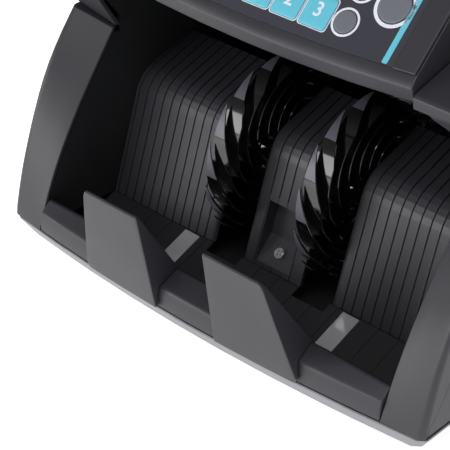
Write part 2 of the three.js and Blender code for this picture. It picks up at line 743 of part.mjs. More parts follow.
// The head's outside, front edge first; the front edge recedes up the panel towards its ends.
function headSection(x) {
  const shift = headBow(x);
  const dy = shift * cosD(PANEL_SLOPE_DEG);
  const dz = shift * sinD(PANEL_SLOPE_DEG);
  const bevelBottom = [HEAD_FRONT_Y - 0.8 + dy, HEAD_FRONT_Z - 3 + dz];
  return [
    [HEAD_FRONT_Y + 1.6 + dy, HEAD_FRONT_Z - 3 - FASCIA_HEIGHT + dz],
    bevelBottom,
    [HEAD_FRONT_Y + 1.4 + dy, HEAD_FRONT_Z + 1.1 + dz],
    HEAD_TOP,
    [HEAD_BACK_Y - 2, HEAD_TOP[1]],
    [HEAD_BACK_Y, HEAD_TOP[1] - 2],
    [HEAD_BACK_Y, 194],
    [HEAD_BACK_Y - SHELL_WALL, 194],
    [HEAD_BACK_Y - SHELL_WALL, HEAD_TOP[1] - SHELL_WALL],
    [HEAD_TOP[0] + 1, HEAD_TOP[1] - SHELL_WALL],
    [HEAD_FRONT_Y + 5.4 + dy, HEAD_FRONT_Z + dz],
    [HEAD_FRONT_Y + 4.4 + dy, HEAD_FRONT_Z - 3 - FASCIA_HEIGHT + dz],
  ];
}

function headSideSection(x) {
  const outer = headSection(x);
  return [outer[0], outer[1], outer[2], outer[3], outer[4], outer[5], outer[6],
    [50, 190], [20, 176], [HEAD_FRONT_Y + 12, HEAD_FRONT_Z - 3 - FASCIA_HEIGHT + 3]];
}

function makeHead() {
  const skin = sweepX(headSection, spread(-HEAD_HALF_WIDTH, HEAD_HALF_WIDTH, 20));
  const side = sweepX(headSideSection, [HEAD_HALF_WIDTH - SHELL_WALL, HEAD_HALF_WIDTH]);
  const knobHole = prism('z', circle(0, KNOB_Y, KNOB_STEM_RADIUS + FIT_GAP, 24), 180, 260);
  place('head_housing', cut(join(skin, side, side.mirror([1, 0, 0])), knobHole), 'housing');
}

// A flat piece lying on the sloped panel: outline in [x, v], between two heights above it.
function onPanel(outline, low, high) {
  const flat = prism('z', outline, low, high);
  const [y, z] = panelPoint(0, 0);
  return flat.rotate([PANEL_SLOPE_DEG, 0, 0]).translate([0, y, z]);
}

const OVERLAY_HALF_WIDTH = 86.6;
const OVERLAY_TOP_V = PANEL_LENGTH - 3;
const OVERLAY_LOW = 0.3;
const OVERLAY_HIGH = 1.3;
const DISPLAY = [-78, -16, 34, 68];
const SMALL_KEYS = {
  small_key_lower: [ROUND_KEY_X, KEY_FIRST_V],
  small_key_upper: [ROUND_KEY_X, KEY_FIRST_V + KEY_PITCH_V],
};
const START_KEY = [START_KEY_X, START_KEY_V];

function digitPlaces() {
  const places = {};
  for (let digit = 1; digit <= 9; digit++) {
    const row = Math.floor((digit - 1) / 3);
    const column = (digit - 1) % 3;
    places[digit] = [KEY_MIDDLE_X + (column - 1) * KEY_PITCH_X, KEY_FIRST_V + row * KEY_PITCH_V];
  }
  places[0] = [KEY_MIDDLE_X, KEY_FIRST_V + 3 * KEY_PITCH_V];
  return places;
}

function keyOutline([x, v], grow) {
  const halfWidth = KEY_WIDTH / 2 + grow;
  const halfHeight = KEY_HEIGHT / 2 + grow;
  return roundedRect(x - halfWidth, x + halfWidth, v - halfHeight, v + halfHeight, 1.6, 2);
}

function makePanel() {
  const front = spread(-OVERLAY_HALF_WIDTH, OVERLAY_HALF_WIDTH, 14)
    .map((x) => [x, 4.2 + headBow(x)]);
  const outline = [...front, [OVERLAY_HALF_WIDTH, OVERLAY_TOP_V], [-OVERLAY_HALF_WIDTH, OVERLAY_TOP_V]];
  const holes = Object.values(digitPlaces()).map((p) => onPanel(keyOutline(p, 0.3), -1, 3));
  for (const [x, v] of Object.values(SMALL_KEYS)) {
    holes.push(onPanel(circle(x, v, ROUND_KEY_RADIUS + 0.3, 28), -1, 3));
  }
  holes.push(onPanel(circle(...START_KEY, START_KEY_RADIUS + 0.3, 32), -1, 3));
  const [x0, x1, v0, v1] = DISPLAY;
  holes.push(onPanel(roundedRect(x0 - 0.3, x1 + 0.3, v0 - 0.3, v1 + 0.3, 2, 2), -1, 3));
  place('keypad_overlay', cut(onPanel(outline, OVERLAY_LOW, OVERLAY_HIGH), ...holes), 'panel');
  place('display_window', onPanel(roundedRect(x0, x1, v0, v1, 1.8, 2), OVERLAY_LOW, 1.5), 'display');
  const inner = OVERLAY_HALF_WIDTH + FIT_GAP;
  const outer = HEAD_HALF_WIDTH - 0.3;
  const bezel = spread(inner, outer, 3).map((x) => [x, 3.4 + headBow(x)]);
  bezel.push([outer, PANEL_LENGTH - 1.4], [inner, PANEL_LENGTH - 1.4]);
  placePair('bezel', onPanel(bezel, OVERLAY_LOW, 2.1), 'housing');
}

function makeKeys() {
  const low = 1;
  const high = 2;
  for (const [digit, p] of Object.entries(digitPlaces())) {
    place(`key_${digit}`, onPanel(keyOutline(p, 0), low, high), 'key');
  }
  for (const [name, [x, v]] of Object.entries(SMALL_KEYS)) {
    place(name, onPanel(circle(x, v, ROUND_KEY_RADIUS, 28), low, high), 'roundKey');
  }
  place('start_key', onPanel(circle(...START_KEY, START_KEY_RADIUS, 32), low, high + 0.2), 'roundKey');
}

// ---------- bay roof, hopper and adjusting knob ----------
const KNOB_Y = 58;
const KNOB_STEM_RADIUS = 3;
const KNOB_RADIUS = 9;
const ROOF_END = [51, 126];

function makeRoof() {
  const start = [-15.6, 164.4];
  place('bay_roof', prism('x', [
    start,
    [ROOF_END[0], ROOF_END[1]],
    [ROOF_END[0] + 1.2, ROOF_END[1] + 1.8],
    [start[0] + 2.4, start[1] + 1.4],
  ].reverse(), -BAY_HALF_WIDTH + 0.2, BAY_HALF_WIDTH - 0.2), 'inner');
}

function onHopper(outline, low, high) {
  const flat = prism('z', outline, low, high);
  const [y, z] = hopperPoint(0, 0);
  return flat.rotate([HOPPER_SLOPE_DEG, 0, 0]).translate([0, y, z]);
}

function makeHopper() {
  const half = HOPPER_HALF_WIDTH;
  const plate = onHopper([[-half, 0], [half, 0], [half, HOPPER_LENGTH], [-half, HOPPER_LENGTH]],
    -HOPPER_PLATE, 0);
  const lip = onHopper([[-half, HOPPER_LENGTH - 2], [half, HOPPER_LENGTH - 2],
    [half, HOPPER_LENGTH], [-half, HOPPER_LENGTH]], -HOPPER_PLATE - 7, -0.1);
  const tools = [];
  for (const side of [-1, 1]) {
    const x = side * ROLLER_X;
    tools.push(onHopper(roundedRect(x - 12, x + 12, -20, 15, 2, 2), -5, 3));
    tools.push(onHopper(roundedRect(x - 9, x + 9, 43, 61, 2, 2), -5, 3));
    const from = side * (GUIDE_REST_X - GUIDE_TRAVEL - 6);
    const to = side * (GUIDE_REST_X + 6);
    tools.push(onHopper(roundedRect(Math.min(from, to), Math.max(from, to), 27, 33, 2, 2), -5, 3));
  }
  place('hopper_plate', cut(join(plate, lip), ...tools), 'housing');
  makeGuides();
}

// A sliding side guide: an upright cheek on a foot, with a stem through the plate's slot.
function makeGuides() {
  const x = GUIDE_REST_X;
  const cheek = onHopper(roundedRect(x - 1.5, x + 1.5, 19, 68, 1.2, 2), 0.4, 26);
  const foot = onHopper(roundedRect(x - 5, x + 5, 20, 64, 2, 2), 0.4, 2.4);
  const stem = onHopper(roundedRect(x - 4, x + 4, 27.6, 32.4, 1, 2), -6, 1);
  const keeper = onHopper(roundedRect(x - 6.4, x + 6.4, 24, 36, 1, 2), -6, -2.4);
  placePair('hopper_guide', join(cheek, foot, stem, keeper), 'housing');
}

// ---------- moving parts ----------
const ROLLER_X = 24;

function finStations() {
  const steps = 9;
  const list = [];
  for (let i = 0; i <= steps; i++) {
    const t = i / steps;
    const angle = FIN_TIP_DEG + FIN_WRAP_DEG * t;
    const turned = FIN_WRAP_DEG * t;
    const radius = WHEEL_RADIUS - FIN_FIRST_DROP * ((turned * FIN_COUNT) / 360) ** FIN_CURL;
    const thick = FIN_THICKNESS * (i === 0 ? 0.45 : 1);
    const cutBack = Math.max(0, 1 - turned / FIN_POINT_DEG) * 0.94;
    const x0 = -FIN_WIDTH / 2;
    const x1 = FIN_WIDTH / 2 - FIN_WIDTH * cutBack;
    const out = [-sinD(angle), cosD(angle)];
    const at = (x, r) => [x, out[0] * r, out[1] * r];
    list.push([
      at(x0, radius), at(x1, radius), at(x1, radius - thick), at(x0, radius - thick),
    ]);
  }
  return list;
}

function makeWheels() {
  const fin = loft(finStations(), [[0, 0], [1, 0], [1, 1], [0, 1]]);
  const half = FIN_WIDTH / 2;
  const fins = Array.from({ length: FIN_COUNT }, (_, i) => fin.rotate([(i * 360) / FIN_COUNT, 0, 0]));
  const hub = rod(-half, half, 0, 0, HUB_RADIUS, 36);
  const boss = rod(-half - 2, half + 2, 0, 0, 9, 32);
  const bore = rod(-30, 30, 0, 0, SHAFT_RADIUS + 0.3, 24);
  const wheel = cut(join(hub, boss, ...fins), bore);
  place('left_stacker_wheel', wheel.translate([-WHEEL_CENTRE_X, WHEEL_Y, WHEEL_Z]), 'wheel');
  place('right_stacker_wheel', wheel.translate([WHEEL_CENTRE_X, WHEEL_Y, WHEEL_Z]), 'wheel');
}

// A shaft's left end, past the frame, and its right end with a flanged belt pulley.
function shaftEnds(pulley) {
  const end = FRAME_OUTER_X + 2;
  const left = [[-end, SHAFT_RADIUS - 0.5], [-end + 1, SHAFT_RADIUS]];
  if (!pulley) return [left, [[end - 1, SHAFT_RADIUS], [end, SHAFT_RADIUS - 0.5]]];
  const x = BELT_X;
  const rim = pulley + 1.6;
  return [left, [
    [x - 1.2, SHAFT_RADIUS], [x - 1.2, rim], [x - 0.4, rim], [x - 0.4, pulley],
    [x + BELT_WIDTH + 0.4, pulley], [x + BELT_WIDTH + 0.4, rim], [x + BELT_WIDTH + 1.2, rim],
    [x + BELT_WIDTH + 1.2, SHAFT_RADIUS], [x + BELT_WIDTH + 3, SHAFT_RADIUS],
  ]];
}

function twoLands(radius, width, core) {
  const inner = ROLLER_X - width / 2;
  const outer = ROLLER_X + width / 2;
  const half = [[inner, core], [inner, radius - 0.6], [inner + 0.8, radius]];
  half.push([outer - 0.8, radius], [outer, radius - 0.6], [outer, SHAFT_RADIUS]);
  return [...half.map(([x, r]) => [-x, r]).reverse(), ...half];
}

function makeShafts() {
  const [left, right] = shaftEnds(STACKER_PULLEY_RADIUS);
  place('stacker_shaft', spool([...left, ...right], WHEEL_Y, WHEEL_Z), 'steel');
  const rollers = [
    ['feed_roller', FEED, FEED_RADIUS, 22, 17, FEED_PULLEY_RADIUS],
    ['pickup_roller', PICKUP, PICKUP_RADIUS, 16, SHAFT_RADIUS, PICKUP_PULLEY_RADIUS],
    ['retard_roller', RETARD, RETARD_RADIUS, 18, SHAFT_RADIUS, 0],
    ['pinch_roller', PINCH, PINCH_RADIUS, 14, SHAFT_RADIUS, 0],
  ];
  for (const [name, [y, z], radius, width, core, pulley] of rollers) {
    const [a, b] = shaftEnds(pulley);
    place(name, spool([...a, ...twoLands(radius, width, core), ...b], y, z), 'rubber');
  }
}

function makeMotor() {
  const body = rod(18, 92, MOTOR_Y, MOTOR_Z, MOTOR_RADIUS, 36);
  const cap = rod(14, 20, MOTOR_Y, MOTOR_Z, MOTOR_RADIUS - 4, 32);
  const flange = rod(92 - 0.5, FRAME_INNER_X - FIT_GAP, MOTOR_Y, MOTOR_Z, MOTOR_RADIUS - 8, 32);
  const bore = rod(60, 130, MOTOR_Y, MOTOR_Z, SHAFT_RADIUS + FIT_GAP, 24);
  const saddle = box(30, 80, MOTOR_Y - 14, MOTOR_Y + 14, BASE_BOTTOM_Z + BASE_PLATE + 0.3, MOTOR_Z);
  place('main_motor', cut(join(body, cap, flange, saddle), bore), 'steel');
  const [, right] = shaftEnds(MOTOR_PULLEY_RADIUS);
  place('motor_pulley', spool([[64, SHAFT_RADIUS], ...right], MOTOR_Y, MOTOR_Z), 'steel');
}

// The belt: the tight loop around four pulleys, a closed band of one thickness.
function makeBelt() {
  const pulleys = [
    [WHEEL_Y, WHEEL_Z, STACKER_PULLEY_RADIUS],
    [...FEED, FEED_PULLEY_RADIUS],
    [...PICKUP, PICKUP_PULLEY_RADIUS],
    [MOTOR_Y, MOTOR_Z, MOTOR_PULLEY_RADIUS],
  ];
  const loop = (grow) => hull(pulleys.flatMap(([y, z, r]) => circle(y, z, r + grow, 40)));
  const outer = prism('x', loop(0.3 + BELT_THICKNESS), BELT_X, BELT_X + BELT_WIDTH);
  const inner = prism('x', loop(0.3), BELT_X - 1, BELT_X + BELT_WIDTH + 1);
  place('drive_belt', cut(outer, inner), 'rubber');
}

function hull(points) {
  const sorted = [...points].sort((a, b) => a[0] - b[0] || a[1] - b[1]);
  const half = (list) => {
    const out = [];
    for (const p of list) {
      while (out.length > 1 && turn(out[out.length - 2], out[out.length - 1], p) <= 1e-6) out.pop();
      out.push(p);
    }
    out.pop();
    return out;
  };
  return [...half(sorted), ...half([...sorted].reverse())];
}

function turn(a, b, c) {
  return (b[0] - a[0]) * (c[1] - a[1]) - (b[1] - a[1]) * (c[0] - a[0]);
}

function makeKnob() {
  const top = HEAD_TOP[1];
  const grip = prism('z', knurl(0, KNOB_Y, KNOB_RADIUS), top + 0.4, top + 10);
  const cap = prism('z', circle(0, KNOB_Y, KNOB_RADIUS - 2.2, 32), top + 9.5, top + 11.2);
  const stem = prism('z', circle(0, KNOB_Y, KNOB_STEM_RADIUS, 24), RETARD[1] + 18, top + 1);
  place('thickness_knob', join(grip, cap, stem), 'inner');
}

function knurl(cx, cy, radius) {
  return Array.from({ length: 48 }, (_, i) => {
    const r = radius - (i % 4 < 2 ? 0 : 0.7);
    return [cx + r * cosD(i * 7.5), cy + r * sinD(i * 7.5)];
  });
}

// ---------- back of the machine ----------
const INLET_X = 92;
const INLET_Z = 52;
const SWITCH_X = 58;
const HINGE_Y = MACHINE_BACK_Y - 3.2;
const HINGE_Z = DOOR_BOTTOM_Z - 1;

function backBox(x, z, halfX, halfZ, y0, y1) {
  return box(x - halfX, x + halfX, y0, y1, z - halfZ, z + halfZ);
}

function makeBack() {
  const half = FRAME_OUTER_X;
  const y0 = MACHINE_BACK_Y - 3.6;
  const y1 = MACHINE_BACK_Y - 1.2;
  const shoulder = DOOR_HALF_WIDTH + 2;
  const middleTop = HINGE_Z - 4.6;
  const panel = prism('y', [
    [HOUSING_BOTTOM_Z + 0.4, -half],
    [partLineZ(half) - 0.6, -half],
    [middleTop, -shoulder],
    [middleTop, shoulder],
    [partLineZ(half) - 0.6, half],
    [HOUSING_BOTTOM_Z + 0.4, half],
  ], y0, y1);
  const tools = [
    backBox(INLET_X, INLET_Z, 14.2, 10.4, y0 - 5, y1 + 5),
    backBox(SWITCH_X, INLET_Z, 8.2, 11.2, y0 - 5, y1 + 5),
  ];
  for (const z of spread(40, 88, 8)) tools.push(backBox(-45, z, 42, 1.5, y0 - 5, y1 + 5));
  place('rear_panel', cut(panel, ...tools), 'housing');
  makeInlet(y0, y1);
  makeSwitch(y0, y1);
  makeDoor();
}

function makeInlet(y0, y1) {
  const body = backBox(INLET_X, INLET_Z, 13.8, 10, y0 - 18, y1 - 0.2);
  const rim = backBox(INLET_X, INLET_Z, 16.4, 12.4, y1 + 0.3, y1 + 2.4);
  const neck = backBox(INLET_X, INLET_Z, 13.8, 10, y1 - 1, y1 + 1);
  const corner = 4;
  const socket = prism('y', [
    [INLET_Z - 8, INLET_X - 12], [INLET_Z - 8, INLET_X + 12],
    [INLET_Z + 8 - corner, INLET_X + 12], [INLET_Z + 8, INLET_X + 12 - corner],
    [INLET_Z + 8, INLET_X - 12 + corner], [INLET_Z + 8 - corner, INLET_X - 12],
  ], y0 - 14, y1 + 5);
  const pins = [[-7, -1.5], [0, 2.5], [7, -1.5]]
    .map(([dx, dz]) => backBox(INLET_X + dx, INLET_Z + dz, 1, 2, y0 - 15, y1 - 1));
  place('power_inlet', join(cut(join(body, rim, neck), socket), ...pins), 'rubber');
}

// A rocker: its two faces meet on the pivot line, one side standing proud.
function makeSwitch(y0, y1) {
  const face = y1 + 1.6;
  const outline = [
    [face - 7.4, INLET_Z - 4], [face, INLET_Z - 10], [face + 1.4, INLET_Z - 9.4],
    [face + 0.2, INLET_Z], [face + 1.4, INLET_Z + 9.4], [face, INLET_Z + 10],
    [face - 7.4, INLET_Z + 4],
  ].reverse();
  place('rocker_switch', prism('x', outline, SWITCH_X - 7.4, SWITCH_X + 7.4), 'rubber');
}

function makeDoor() {
  const half = DOOR_HALF_WIDTH;
  const y1 = MACHINE_BACK_Y - 0.2;
  const skin = box(-half, half, y1 - 2.6, y1, DOOR_BOTTOM_Z, DOOR_TOP_Z);
  const barrel = rod(-half, half, HINGE_Y, HINGE_Z, 2.8, 24);
  const pull = prism('z', [[-16, y1 - 1], [16, y1 - 1], [13, y1 + 3.4], [-13, y1 + 3.4]],
    DOOR_TOP_Z - 12, DOOR_TOP_Z - 7);
  const ribs = spread(-72, 72, 4)
    .map((x) => box(x - 1, x + 1, y1 - 7, y1 - 2, DOOR_BOTTOM_Z + 16, DOOR_TOP_Z - 8));
  place('rear_door', join(skin, barrel, pull, ...ribs), 'housing');
}

function makeBoard() {
  const z = BASE_BOTTOM_Z + BASE_PLATE + 8;
  const board = box(-108, -12, 78, 146, z, z + 1.6);
  const blocks = [
    box(-100, -72, 100, 138, z + 1, z + 26),
    box(-64, -50, 112, 140, z + 1, z + 20),
    box(-62, -34, 84, 102, z + 1, z + 6),
    box(-28, -18, 90, 130, z + 1, z + 12),
  ];
  const cans = [[-42, 120], [-42, 134], [-104, 88]]
    .map(([x, y]) => prism('z', circle(x, y, 5.4, 20), z + 1, z + 22));
  const posts = [[-104, 82], [-104, 142], [-16, 82], [-16, 142]]
    .map(([x, y]) => prism('z', circle(x, y, 3, 16), BASE_BOTTOM_Z + BASE_PLATE + 0.3, z + 0.5));
  place('main_board', join(board, ...blocks, ...cans, ...posts), 'board');
}

makeBase();
makeFeet();
makeApron();
makeFloor();
makeBayWalls();
makeStops();
makeBands();
makeSideCovers();
makeSideFrames();
makeUpperHousing();
makeHead();
makePanel();
makeKeys();
makeRoof();
makeHopper();
makeWheels();
makeShafts();
makeMotor();
makeBelt();
makeKnob();
makeBack();
makeBoard();

const bounds = new THREE.Box3().setFromObject(root);
root.position.y = -(bounds.min.y + bounds.max.y) / 2;
root.updateMatrixWorld(true);

export default root;
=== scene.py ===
"""Looks of a desktop banknote counting machine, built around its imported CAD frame.

The frame gives every solid in metres: +Z is up, the operator's side faces -Y, and zero is the
middle of the footprint under the feet. Each class below is one sub-assembly. It rebuilds the
pieces whose edges, faces or prints need more than the frame's solids hold, and dresses them.
"""

from __future__ import annotations

import json
import logging
import math
from dataclasses import dataclass
from enum import Enum
from typing import Iterable, Sequence

import bmesh
import bpy
from mathutils import Matrix, Vector

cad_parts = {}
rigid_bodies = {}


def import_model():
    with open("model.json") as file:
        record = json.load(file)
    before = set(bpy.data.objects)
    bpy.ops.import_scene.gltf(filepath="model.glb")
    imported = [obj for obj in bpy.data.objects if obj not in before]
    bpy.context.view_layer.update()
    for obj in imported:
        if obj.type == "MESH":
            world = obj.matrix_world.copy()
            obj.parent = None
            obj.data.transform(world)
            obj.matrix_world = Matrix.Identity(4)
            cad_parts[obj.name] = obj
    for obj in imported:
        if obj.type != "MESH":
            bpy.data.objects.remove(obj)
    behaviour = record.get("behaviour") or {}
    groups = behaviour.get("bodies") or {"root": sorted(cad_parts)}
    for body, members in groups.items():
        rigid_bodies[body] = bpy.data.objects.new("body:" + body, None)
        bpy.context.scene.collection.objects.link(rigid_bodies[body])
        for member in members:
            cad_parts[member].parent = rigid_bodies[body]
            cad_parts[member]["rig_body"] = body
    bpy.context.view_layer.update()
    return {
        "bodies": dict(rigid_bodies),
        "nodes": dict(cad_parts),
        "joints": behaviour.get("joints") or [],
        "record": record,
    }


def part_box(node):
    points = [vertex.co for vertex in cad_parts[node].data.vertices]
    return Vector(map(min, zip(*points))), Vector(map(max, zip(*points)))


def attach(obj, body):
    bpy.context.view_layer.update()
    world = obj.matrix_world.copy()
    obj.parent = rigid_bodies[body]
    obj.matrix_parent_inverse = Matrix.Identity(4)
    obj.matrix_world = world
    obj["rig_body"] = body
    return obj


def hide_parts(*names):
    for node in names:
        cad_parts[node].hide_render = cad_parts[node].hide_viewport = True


LOG = logging.getLogger("banknote_counter")
MM = 0.001
BODY = "machine"

MERGE_MM = 0.01  # points closer than this are one point
FLAT_DEG = 1.0  # faces within this angle are one face
LEAST_EDGE_DEG = 30.0  # softer edges than this are not rounded
LEAST_EDGE_MM = 0.2
FLAT_FACE_WEIGHT = 80

Point2 = tuple[float, float]


# ---------------------------------------------------------------- colours and nodes


class Tone(Enum):
    """sRGB colours of the real finishes, as hex values, and two painted ones: a fin highlight and
    the shade of unlit hollows.
    """

    CHARCOAL = "#313036"
    BLACK_MOULDING = "#1f1e22"
    BASE_GREY = "#7c7b80"
    RUBBER = "#1a1a1b"
    FIN_BLACK = "#0b0b0c"
    STEEL = "#b9babc"
    OXIDE_STEEL = "#2c2c2e"
    # painted shade for unlit hollows, also used on the dark sheet behind the rear slots
    CAVITY_BLACK = "#070708"
    # painted highlight on the fins' outer faces near their tips
    SCUFFED_FIN = "#5c5b66"
    FRAME_PAINT = "#1f2022"
    WINDOW_SILVER = "#c9c9cd"
    FILM_SLATE = "#3a3b43"
    TURQUOISE = "#66c3d9"
    KEY_GREY = "#6d7079"
    PRINT_WHITE = "#e6e8f2"
    DISPLAY_BLACK = "#101316"
    BOARD_GREEN = "#1f5c38"
    FLOOR_WHITE = "#f4f4f4"


def linear(tone: str) -> tuple[float, float, float, float]:
    """Turns an sRGB hex value into a linear colour.

    Args:
        tone: six hex digits after a hash sign.

    Returns:
        Linear red, green, blue, and an alpha of one.
    """
    channels = [int(tone[i : i + 2], 16) / 255.0 for i in (1, 3, 5)]
    curve = [c / 12.92 if c <= 0.04045 else ((c + 0.055) / 1.055) ** 2.4 for c in channels]
    return (curve[0], curve[1], curve[2], 1.0)


def shade(tone: Tone, factor: float) -> tuple[float, float, float, float]:
    """Returns a tone in linear light, made lighter or darker by a factor."""
    red, green, blue, alpha = linear(tone.value)
    return (red * factor, green * factor, blue * factor, alpha)


def add(
    tree: bpy.types.NodeTree,
    kind: str,
    settings: dict[str, object] | None = None,
    inputs: dict[str | int, object] | None = None,
) -> bpy.types.Node:
    """Adds one node with its settings, constants and links.

    Args:
        tree: the material's node tree.
        kind: Blender's node type name.
        settings: attributes of the node.
        inputs: socket name or index to a constant, or to an output socket to link from.

    Returns:
        The new node.
    """
    node = tree.nodes.new(kind)
    for name, value in (settings or {}).items():
        setattr(node, name, value)
    for socket, value in (inputs or {}).items():
        if isinstance(value, bpy.types.NodeSocket):
            tree.links.new(value, node.inputs[socket])
        else:
            node.inputs[socket].default_value = value
    return node


def per_mm(size_mm: float) -> float:
    """Returns the noise scale whose features are one given size across, in millimetres."""
    return 1.0 / (size_mm * MM)


def blank(name: str) -> tuple[bpy.types.Material, bpy.types.NodeTree]:
    """Makes an empty node material.

    Args:
        name: the finish's name.

    Returns:
        The material and its tree.
    """
    material = bpy.data.materials.new(name)
    material.use_nodes = True
    material.node_tree.nodes.clear()
    return material, material.node_tree


# ---------------------------------------------------------------- finishes


@dataclass(frozen=True)
class MouldedPlastic:
    """Injection-moulded ABS whose mould was spark-eroded.

    The eroded grain breaks the reflection up, so the plastic looks satin, and its gloss drifts a
    little over a hand's width where the melt cooled unevenly.
    """

    name: str
    tone: Tone
    roughness: float = 0.42
    grain_mm: float = 1.1  # the real grain is near 0.2 mm; this coarse it still shows
    grain_depth: float = 0.10
    drift_mm: float = 60.0
    ior: float = 1.52

    def material(self) -> bpy.types.Material:
        """Builds the finish."""
        material, tree = blank(self.name)
        place = add(tree, "ShaderNodeTexCoord")
        grain = add(tree, "ShaderNodeTexNoise", {}, {
            "Vector": place.outputs["Object"], "Scale": per_mm(self.grain_mm),
            "Detail": 3.0, "Roughness": 0.6,
        })
        drift = add(tree, "ShaderNodeTexNoise", {}, {
            "Vector": place.outputs["Object"], "Scale": per_mm(self.drift_mm), "Detail": 2.0,
        })
        colour = add(tree, "ShaderNodeMix", {"data_type": "RGBA"}, {
            0: grain.outputs["Fac"], 6: shade(self.tone, 0.90), 7: shade(self.tone, 1.10),
        })
        gloss = add(tree, "ShaderNodeMapRange", {}, {
            "Value": drift.outputs["Fac"], "From Min": 0.3, "From Max": 0.7,
            "To Min": self.roughness - 0.04, "To Max": self.roughness + 0.05,
        })
        relief = add(tree, "ShaderNodeBump", {}, {
            "Height": grain.outputs["Fac"], "Strength": self.grain_depth,
            "Distance": 0.06 * MM,
        })
        surface = add(tree, "ShaderNodeBsdfPrincipled", {}, {
            "Base Color": colour.outputs[2], "Roughness": gloss.outputs["Result"],
            "Normal": relief.outputs["Normal"], "IOR": self.ior,
        })
        add(tree, "ShaderNodeOutputMaterial", {}, {"Surface": surface.outputs["BSDF"]})
        return material


@dataclass(frozen=True)
class PolishedPlastic:
    """Glossy moulding or window from a polished tool: sharp reflections, faint handling haze."""

    name: str
    tone: Tone
    roughness: float = 0.08
    metallic: float = 0.0
    coat: float = 0.6
    haze_mm: float = 9.0
    ior: float = 1.55

    def material(self) -> bpy.types.Material:
        """Builds the finish."""
        material, tree = blank(self.name)
        place = add(tree, "ShaderNodeTexCoord")
        haze = add(tree, "ShaderNodeTexNoise", {}, {
            "Vector": place.outputs["Object"], "Scale": per_mm(self.haze_mm), "Detail": 4.0,
        })
        gloss = add(tree, "ShaderNodeMapRange", {}, {
            "Value": haze.outputs["Fac"], "From Min": 0.35, "From Max": 0.7,
            "To Min": self.roughness, "To Max": self.roughness + 0.07,
        })
        colour = add(tree, "ShaderNodeMix", {"data_type": "RGBA"}, {
            0: haze.outputs["Fac"], 6: shade(self.tone, 0.94), 7: shade(self.tone, 1.06),
        })
        surface = add(tree, "ShaderNodeBsdfPrincipled", {}, {
            "Base Color": colour.outputs[2], "Roughness": gloss.outputs["Result"],
            "Metallic": self.metallic, "Coat Weight": self.coat, "Coat Roughness": 0.04,
            "IOR": self.ior,
        })
        add(tree, "ShaderNodeOutputMaterial", {}, {"Surface": surface.outputs["BSDF"]})
        return material


@dataclass(frozen=True)
class TurnedSteel:
    """Bright zinc-plated steel turned on a lathe: fine rings that stretch each highlight."""

    name: str
    tone: Tone = Tone.STEEL
    roughness: float = 0.26
    ring_mm: float = 0.7

    def material(self) -> bpy.types.Material:
        """Builds the finish."""
        material, tree = blank(self.name)
        place = add(tree, "ShaderNodeTexCoord")
        stretch = add(tree, "ShaderNodeMapping", {}, {
            "Vector": place.outputs["Object"], "Scale": (1.0, 0.04, 0.04),
        })
        rings = add(tree, "ShaderNodeTexNoise", {}, {
            "Vector": stretch.outputs["Vector"], "Scale": per_mm(self.ring_mm), "Detail": 3.0,
        })
        gloss = add(tree, "ShaderNodeMapRange", {}, {
            "Value": rings.outputs["Fac"], "From Min": 0.3, "From Max": 0.7,
            "To Min": self.roughness - 0.06, "To Max": self.roughness + 0.1,
        })
        relief = add(tree, "ShaderNodeBump", {}, {
            "Height": rings.outputs["Fac"], "Strength": 0.15, "Distance": 0.03 * MM,
        })
        surface = add(tree, "ShaderNodeBsdfPrincipled", {}, {
            "Base Color": linear(self.tone.value), "Metallic": 1.0,
            "Roughness": gloss.outputs["Result"], "Normal": relief.outputs["Normal"],
        })
        add(tree, "ShaderNodeOutputMaterial", {}, {"Surface": surface.outputs["BSDF"]})
        return material


@dataclass(frozen=True)
class SoftRubber:
    """Moulded nitrile rubber, ground to size: matte, with a dusty bloom in its pores."""

    name: str
    tone: Tone = Tone.RUBBER
    pore_mm: float = 0.9

    def material(self) -> bpy.types.Material:
        """Builds the finish."""
        material, tree = blank(self.name)
        place = add(tree, "ShaderNodeTexCoord")
        pores = add(tree, "ShaderNodeTexNoise", {}, {
            "Vector": place.outputs["Object"], "Scale": per_mm(self.pore_mm), "Detail": 5.0,
        })
        colour = add(tree, "ShaderNodeMix", {"data_type": "RGBA"}, {
            0: pores.outputs["Fac"], 6: shade(self.tone, 0.8), 7: shade(self.tone, 1.5),
        })
        relief = add(tree, "ShaderNodeBump", {}, {
            "Height": pores.outputs["Fac"], "Strength": 0.3, "Distance": 0.08 * MM,
        })
        surface = add(tree, "ShaderNodeBsdfPrincipled", {}, {
            "Base Color": colour.outputs[2], "Roughness": 0.78, "IOR": 1.5,
            "Normal": relief.outputs["Normal"],
        })
        add(tree, "ShaderNodeOutputMaterial", {}, {"Surface": surface.outputs["BSDF"]})
        return material


@dataclass(frozen=True)
class LacqueredBoard:
    """Circuit board under green solder resist, with the copper tracks lifting it in lines."""

    name: str
    tone: Tone = Tone.BOARD_GREEN
    track_mm: float = 2.4

    def material(self) -> bpy.types.Material:
        """Builds the finish."""
        material, tree = blank(self.name)
        place = add(tree, "ShaderNodeTexCoord")
        tracks = add(tree, "ShaderNodeTexBrick", {"offset": 0.3}, {
            "Vector": place.outputs["Object"], "Scale": per_mm(self.track_mm) / 2.0,
            "Color1": shade(self.tone, 1.0), "Color2": shade(self.tone, 1.25),
            "Mortar": shade(self.tone, 0.6), "Mortar Size": 0.06,
        })
        surface = add(tree, "ShaderNodeBsdfPrincipled", {}, {
            "Base Color": tracks.outputs["Color"], "Roughness": 0.32, "Coat Weight": 0.4,
            "IOR": 1.5,
        })
        add(tree, "ShaderNodeOutputMaterial", {}, {"Surface": surface.outputs["BSDF"]})
        return material


